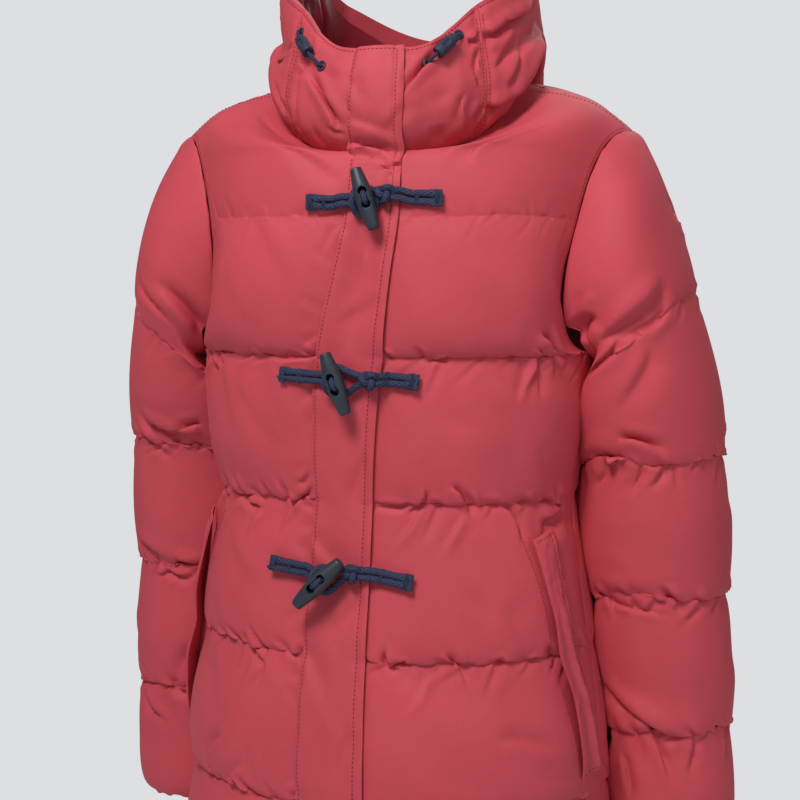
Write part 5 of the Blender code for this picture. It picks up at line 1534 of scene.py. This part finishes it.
def moulded_plastic(name, tones, gloss, patches, pits, bump, ior):
    """Moulded plastic with a soft broken gloss and tiny pits; patches and pits are noise scales."""
    made, tree, shader = new_material(name, {"IOR": ior})
    solid = add_node(tree, "ShaderNodeTexCoord")
    fine, worn = (add_node(tree, "ShaderNodeTexNoise", {"Scale": scale, "Detail": detail},
                           Vector=solid.outputs["Object"]) for scale, detail in (pits, patches))
    add_node(tree, "ShaderNodeMapRange", {"To Min": gloss[0], "To Max": gloss[1]}, shader.inputs["Roughness"],
             Value=worn)
    add_node(tree, "ShaderNodeValToRGB", {"tones": tones}, shader.inputs["Base Color"], Fac=worn)
    add_node(tree, "ShaderNodeBump", {"Strength": bump[0], "Distance": bump[1]}, shader.inputs["Normal"], Height=fine)
    return made


# tumbled after moulding to a satin matte
moulded = moulded_plastic("tumbled matte toggle plastic", ("#1F2732", "#2D3643"), (0.40, 0.56), (60.0, 3.0),
                          (1600.0, 2.0), (0.25, 0.0001), 1.53)
tack_thread = sewing_thread("navy polyester thread", "#1A2137", "#3A4565", 1200.0)


def bar_tack(name, centre, wide, along, normal, reach, rise):
    """Dense zigzag of thread that sews both strands down to the cloth."""
    verts, faces = [], []
    for k in range(TACK_THREADS):
        faces += tube_faces(len(verts), TACK_STEPS + 1, 4)
        for i in range(TACK_STEPS + 1):
            t = -1 + 2 * i / TACK_STEPS
            lift = rise * (1 - abs(t) ** 3.2) + 0.0003 * (k % 2)
            slip = (k - TACK_THREADS / 2) * 0.00042 + 0.00035 * math.sin(5 * t + k)
            p = centre + wide * (t * reach) + along * slip + normal * lift
            for c, w in ((1, 0), (0, 1), (-1, 0), (0, -1)):
                verts.append(p + normal * (c * TACK_THREAD_R) + along * (w * TACK_THREAD_R))
    piece = new_mesh(name, verts, faces)
    piece.data.materials.append(tack_thread)
    finished(piece, "cord")


def seat(across, up, out, place):
    """Turn and place of a piece whose own x, y and z lie along these directions."""
    axes = Matrix((across, up, out)).transposed().to_4x4()
    axes.translation = place
    return axes


def level_ways(normal):
    """Sideways and upward over a surface with this way out."""
    sideways = Vector((0, 0, 1)).cross(normal).normalized()
    sideways = sideways if sideways.x > 0 else -sideways
    upward = normal.cross(sideways).normalized()
    return sideways, upward if upward.z > 0 else -upward


def edit(operator, **settings):
    """One operation in edit mode on what is selected of the piece in hand."""
    bpy.ops.object.mode_set(mode="EDIT")
    operator(**settings)
    bpy.ops.object.mode_set(mode="OBJECT")


def cut_rings(places, axis):
    """Cuts the piece in hand across at places along its axis, so that it can be shaped there."""
    bpy.ops.object.mode_set(mode="EDIT")
    for place in places:
        bpy.ops.mesh.select_all(action="SELECT")
        bpy.ops.mesh.bisect(plane_co=axis * place, plane_no=axis)
    bpy.ops.object.mode_set(mode="OBJECT")


def add_bevel(piece, width, segments, angle):
    """Rounds the edges sharper than an angle."""
    bevel = piece.modifiers.new("soft edges", "BEVEL")
    bevel.width = width
    bevel.segments = segments
    bevel.limit_method = "ANGLE"
    bevel.angle_limit = math.radians(angle)


def bored(piece, tools, width, angle):
    """Cuts the tools out of a piece and eases the edges that they leave."""
    for tool in tools:
        cutting = piece.modifiers.new("cut", "BOOLEAN")
        cutting.object = tool
        cutting.solver = "EXACT"
    add_bevel(piece, width, 2, angle)
    bpy.context.view_layer.objects.active = piece
    for modifier in list(piece.modifiers):
        bpy.ops.object.modifier_apply(modifier=modifier.name)
    for tool in tools:
        bpy.data.objects.remove(tool, do_unlink=True)


def seated(piece, axes, angle, mat, slot, node):
    """Places a modelled piece, smooths it up to an edge angle and gives it its material."""
    piece.data.transform(axes)
    bpy.ops.object.select_all(action="DESELECT")
    piece.select_set(True)
    bpy.context.view_layer.objects.active = piece
    bpy.ops.object.shade_smooth_by_angle(angle=math.radians(angle))
    piece.select_set(False)
    piece.data.materials.append(mat)
    assign(piece, slot, node)


for number, (s0, z0), lean, height, cord_end, loop_end, (ws, wz) in TOGGLES:
    centre, normal = surface(s0, z0, height)
    sideways, upward = level_ways(normal)
    b = math.radians(lean)
    axis = upward * math.cos(b) - sideways * math.sin(b)

    # the barrel: a rod turned to a taper, holes drilled through and a groove between them
    bpy.ops.mesh.primitive_cylinder_add(vertices=48, radius=TOGGLE_MID_D / 2, depth=TOGGLE_LENGTH,
                                        rotation=(math.pi / 2, 0, 0))
    toggle = bpy.context.object
    toggle.name = "toggle_%d_moulded" % number
    bpy.ops.object.transform_apply(location=False, rotation=True, scale=True)
    cut_rings([k * 0.0025 for k in range(-9, 10)], Vector((0, 1, 0)))
    for v in toggle.data.vertices:
        x = abs(v.co.y) / (TOGGLE_LENGTH / 2)
        share = (TOGGLE_MID_D + (TOGGLE_END_D - TOGGLE_MID_D) * x ** 1.7) / TOGGLE_MID_D
        v.co.x *= share
        v.co.z *= share
    edit(bpy.ops.mesh.select_all, action="DESELECT")
    for edge in toggle.data.edges:
        edge.select = all(abs(abs(toggle.data.vertices[v].co.y) - TOGGLE_LENGTH / 2) < 1e-5 for v in edge.vertices)
    edit(bpy.ops.mesh.bevel, offset=0.0011, segments=4, profile=0.5, affect="EDGES")
    tools = []
    for y in (-TOGGLE_HOLE_STEP / 2, TOGGLE_HOLE_STEP / 2):
        bpy.ops.mesh.primitive_cylinder_add(vertices=40, radius=TOGGLE_HOLE_D / 2, depth=0.04, location=(0, y, 0))
        tools.append(bpy.context.object)
    bpy.ops.mesh.primitive_cube_add(size=1, location=(0, 0, 0.0122),
                                    scale=(TOGGLE_HOLE_D - 0.0016, TOGGLE_HOLE_STEP, 0.02))
    tools.append(bpy.context.object)
    bored(toggle, tools, 0.00045, 38)
    seated(toggle, seat(axis.cross(normal), axis, normal, centre), 32, moulded, "toggle", "toggle_%d" % number)

    def near(x, y, c):
        """Point by the toggle: x and y over the surface, c above the flap."""
        return centre + sideways * x + upward * y + normal * (c - height)

    # the doubled cord that holds the toggle
    hx, hy = -TOGGLE_HOLE_STEP / 2 * math.sin(b), TOGGLE_HOLE_STEP / 2 * math.cos(b)
    top = height + TOGGLE_MID_D / 2
    under = (s0 - 0.014, z0 + 0.75 * (cord_end[1] - z0))
    strands = []
    for way in (1, -1):
        rise = [near(way * hx - back / 1000, way * hy * share, CORD_LOW + c / 1000) for back, share, c in STRAND_RISE]
        rise += [near(way * hx * share, way * hy * share, top - c) for share, c in ((0.88, 0.0074), (0.50, 0.0028))]
        strands.append(cord_line(cord_end, under, way * STRAND_GAP, 6) + rise)
    braided("toggle_cord_%d_braid" % number, smooth_path(strands[0] + [near(0, 0, top - 0.0020)] + strands[1][::-1], 6),
            CORD_R, surface(*cord_end, CORD_LOW)[1], "toggle_cord_%d" % number, flare=1.0)

    # both strands end in one fused, squared block
    for label, end, side, rise in (("toggle_cord", cord_end, 1, under[1] - cord_end[1]),
                                   ("loop_cord", loop_end, -1, 0)):
        spot, out = surface(end[0] + side * 0.0021, end[1], CORD_LOW - 0.0003)
        along = surface(end[0] + side * 0.006, end[1] + rise * 0.1, CORD_LOW - 0.0002)[0] - spot
        along.normalize()
        bpy.ops.mesh.primitive_cube_add(size=1, scale=(0.0044, 4.6 * CORD_R, 1.45 * CORD_R))
        block = bpy.context.object
        block.name = "%s_%d_fused_end" % (label, number)
        bpy.ops.object.transform_apply(location=False, rotation=False, scale=True)
        edit(bpy.ops.mesh.bevel, offset=0.0007, segments=3, affect="EDGES")
        block.data.transform(seat(along, out.cross(along), out, spot))
        block.data.materials.append(braid_cord)
        block.select_set(False)
        assign(block, "cord")

    # the loop behind the barrel, and the knot that ties its strands
    arms = []
    for sign in (1, -1):
        aside = Vector((0, 0, sign * STRAND_GAP))
        arms.append(cord_line(loop_end, (ws + 0.012, wz), -sign * STRAND_GAP, 5)
                    + [surface(ws + d, wz, KNOT_LOW)[0] + aside for d in (0.006, 0.0, -0.006)])
    pinch = 0.62 if lean < 0 else 1.0
    bend = [near(x / 1000, y / 1000 * (pinch if y < 0 else 1), CORD_LOW + c / 1000) for x, y, c in LOOP_BEND]
    braided("loop_cord_%d_braid" % number, smooth_path(arms[0] + bend + arms[1][::-1], 6), CORD_R,
            surface(*loop_end, CORD_LOW)[1], "loop_cord_%d" % number, flare=1.0)
    knot, out = surface(ws, wz, KNOT_LOW)
    aside, above = level_ways(out)
    tie = [knot + aside * (0.00205 * (math.sin(t) + 2 * math.sin(2 * t)))
           + above * (0.00215 * (math.cos(t) - 2 * math.cos(2 * t))) + out * (0.0018 - 0.0028 * math.sin(3 * t))
           for t in (2 * math.pi * i / 72 * 0.985 + 0.3 for i in range(73))]
    braided("loop_wrap_%d_knot" % number, tie, CORD_R * 1.02, out, "loop_wrap_%d" % number)
    for label, end, target, far in (("cord", cord_end, under, 0.017), ("loop", loop_end, (ws + 0.012, wz), 0.022)):
        run = Vector((target[0] - end[0], target[1] - end[1])).normalized()
        for k, d in enumerate((0.0045, far)):
            (spot, n), (ahead, _) = (surface(end[0] + run.x * x, end[1] + run.y * x, CORD_LOW) for x in (d, d + 0.003))
            along = (ahead - spot).normalized()
            bar_tack("%s_tack_%d_%d" % (label, number, k + 1), spot, n.cross(along).normalized(), along, n,
                     0.0060 if k else 0.0066, CORD_R * 0.86)

# ----------------------------------- hood cords with their eyelets and stoppers
# One cord a side shows between two rubber-coated eyelets, and runs through a small
# oval stopper of rubber-like plastic that grips it; the sunk field on its face is bare.
HOOD_CORD_D = 0.0028
EYELET_R = 0.0034
EYELET_WIRE_R = 0.0011
STOPPER_LENGTH = 0.020
STOPPER_D = 0.0092
STOPPER_FOOT_Z = -0.0063
# side, upper eyelet and lower eyelet as (angle, place), the cord's length
HOOD_CORDS = [("left", (38.0, 7.0), (24.5, 6.0), 0.0445), ("right", (-47.5, 6.6), (-28.0, 5.9), 0.0557)]

# moulded with a dusty, soft-touch face
rubber = moulded_plastic("soft-touch rubber-like plastic", ("#1C2335", "#2B3449"), (0.44, 0.62), (240.0, 3.0),
                         (240.0, 3.0), (0.2, 0.00012), 1.50)


def on_hood(w, k):
    """Point on the hood's outside at angle w and place k, and the way out."""
    piece = [hood[name] for name, (lo, hi, cols) in HOOD_PIECES.items() if lo <= w <= hi][0]
    j = np.interp(w, piece["angles"], range(len(piece["angles"])))
    return [Vector(on_grid(piece[key], k * HOOD_STEPS, j)) for key in ("outer", "outs")]


for name, upper_eye, lower_eye, length in HOOD_CORDS:
    ends = []
    for label, eye in (("upper", upper_eye), ("lower", lower_eye)):
        p, n = on_hood(*eye)
        n.normalize()
        aside = n.cross(Vector((0, 0, 1))).normalized()
        bpy.ops.mesh.primitive_torus_add(major_radius=EYELET_R, minor_radius=EYELET_WIRE_R, major_segments=44,
                                         minor_segments=14)
        ring = bpy.context.object
        ring.name = "eyelet_%s_%s_ring" % (label, name)
        bpy.ops.transform.resize(value=(1, 1, 0.7))
        bpy.ops.object.transform_apply(location=False, rotation=False, scale=True)
        seated(ring, seat(aside, n.cross(aside), n, p + n * 0.0006), 60, rubber, "stopper",
                      "eyelet_%s_%s" % (label, name))
        ends.append((p + n * 0.0002, n))
    (p0, n0), (p1, n1) = ends
    along = (p1 - p0).normalized()
    out = (n0 + n1).normalized()
    out = (out - along * out.dot(along)).normalized()
    middle = (p0 + p1) / 2 + out * 0.0082
    reach = along * (STOPPER_LENGTH / 2 + 0.001)

    # the stopper: a rounded oval barrel, bored through, with a bare sunk field and a narrower foot
    bpy.ops.mesh.primitive_cylinder_add(vertices=56, radius=STOPPER_D / 2, depth=STOPPER_LENGTH)
    stopper = bpy.context.object
    stopper.name = "cord_stopper_%s_barrel" % name
    bpy.ops.transform.resize(value=(1.12, 1, 1))
    bpy.ops.object.transform_apply(location=False, rotation=False, scale=True)
    cut_rings((-0.0064, -0.0058, 0.0052, 0.0072), Vector((0, 0, 1)))
    for v in stopper.data.vertices:
        if v.co.z < STOPPER_FOOT_Z:
            v.co.x *= 0.86
            v.co.y *= 0.86
    add_bevel(stopper, 0.0030, 6, 50)
    tools = []
    bpy.ops.mesh.primitive_cylinder_add(vertices=32, radius=HOOD_CORD_D / 2 + 0.0005, depth=0.05)
    tools.append(bpy.context.object)
    bpy.ops.mesh.primitive_cube_add(size=1, location=(0, -STOPPER_D / 2 - 0.0006, -0.0004),
                                    scale=(0.0044, 0.0026, 0.0078))
    tools.append(bpy.context.object)
    bored(stopper, tools, 0.00030, 45)
    seated(stopper, seat(along.cross(-out), -out, along, middle), 34, rubber, "stopper", "cord_stopper_" + name)

    route = smooth_path([p0, p0 + n0 * 0.0034 + along * 0.0004, middle - reach, middle,
                         middle + reach, p1 + n1 * 0.0034 - along * 0.0004, p1], 8)
    drawn, line = braided("hood_cord_%s_braid" % name, route, HOOD_CORD_D / 2, out, "hood_cord_" + name)
    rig.cord(drawn, exit=line[0], length=length, diameter=HOOD_CORD_D, far_end="object", stiffness="limp",
            lay="loose", path=line, with_pieces=[stopper])

# --------------------------------------------------------- rows of topstitching
# One row of thread a few millimetres in from the armhole, shoulder and pocket
# edges of the fronts, and along the hood's rim and both sides of its seams.
BODY_STITCH_IN = 0.0034
HOOD_STITCH_IN = 0.0026
RIM_STITCH_ROWS = HOOD_STEPS * 0.0030 / 0.0105


def in_from_edge(across, rows, gap, last):
    """Places down a grid whose way across lies a gap in from its first or last column."""
    return [(i, float(np.interp(across[i][-1] - gap if last else gap, across[i], np.arange(len(across[i])))))
            for i in rows]


row_places = step_places(7)
for panel in [p for p in panels if p["name"].startswith("front")]:
    last = panel["finished"].shape[1] - 1
    pocket_row = []
    for along in (-0.02 + 1.04 * k / 40 for k in range(41)):
        theta, z = pocket_line(along)
        theta += 1.6 * min(1.0, along * 3) - 7.0
        pocket_row.append((2 * float(np.interp(row_at(z), row_places, np.arange(len(row_places)))), theta / 90 * last))
    topstitching("%s_stitching" % panel["name"], [grid_line(panel["finished"], panel["fine_outs"], way) for way in (
        in_from_edge(panel["across"], range(5, 90, 3), BODY_STITCH_IN, True),
        [(4.5, j) for j in range(int(0.10 * last), int(0.985 * last))], pocket_row)])

for name, piece in hood.items():
    rows, cols = piece["across"].shape
    rim = rows - 1 - RIM_STITCH_ROWS
    ways = [[(rim, 0.5), (rim, cols - 1.5)]]
    for last, angle in enumerate(HOOD_PIECES[name][:2]):
        if angle != 0:
            ways.append(in_from_edge(piece["across"], range(3, rows - 4, 3), HOOD_STITCH_IN, last))
    topstitching(name + "_stitching", [grid_line(piece["outer"], piece["outs"], way) for way in ways])

low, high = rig.bounds()
with open("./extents.json", "w") as report:
    json.dump({"cad": [list(cad_low), list(cad_high)], "visual": [list(low), list(high)]}, report)
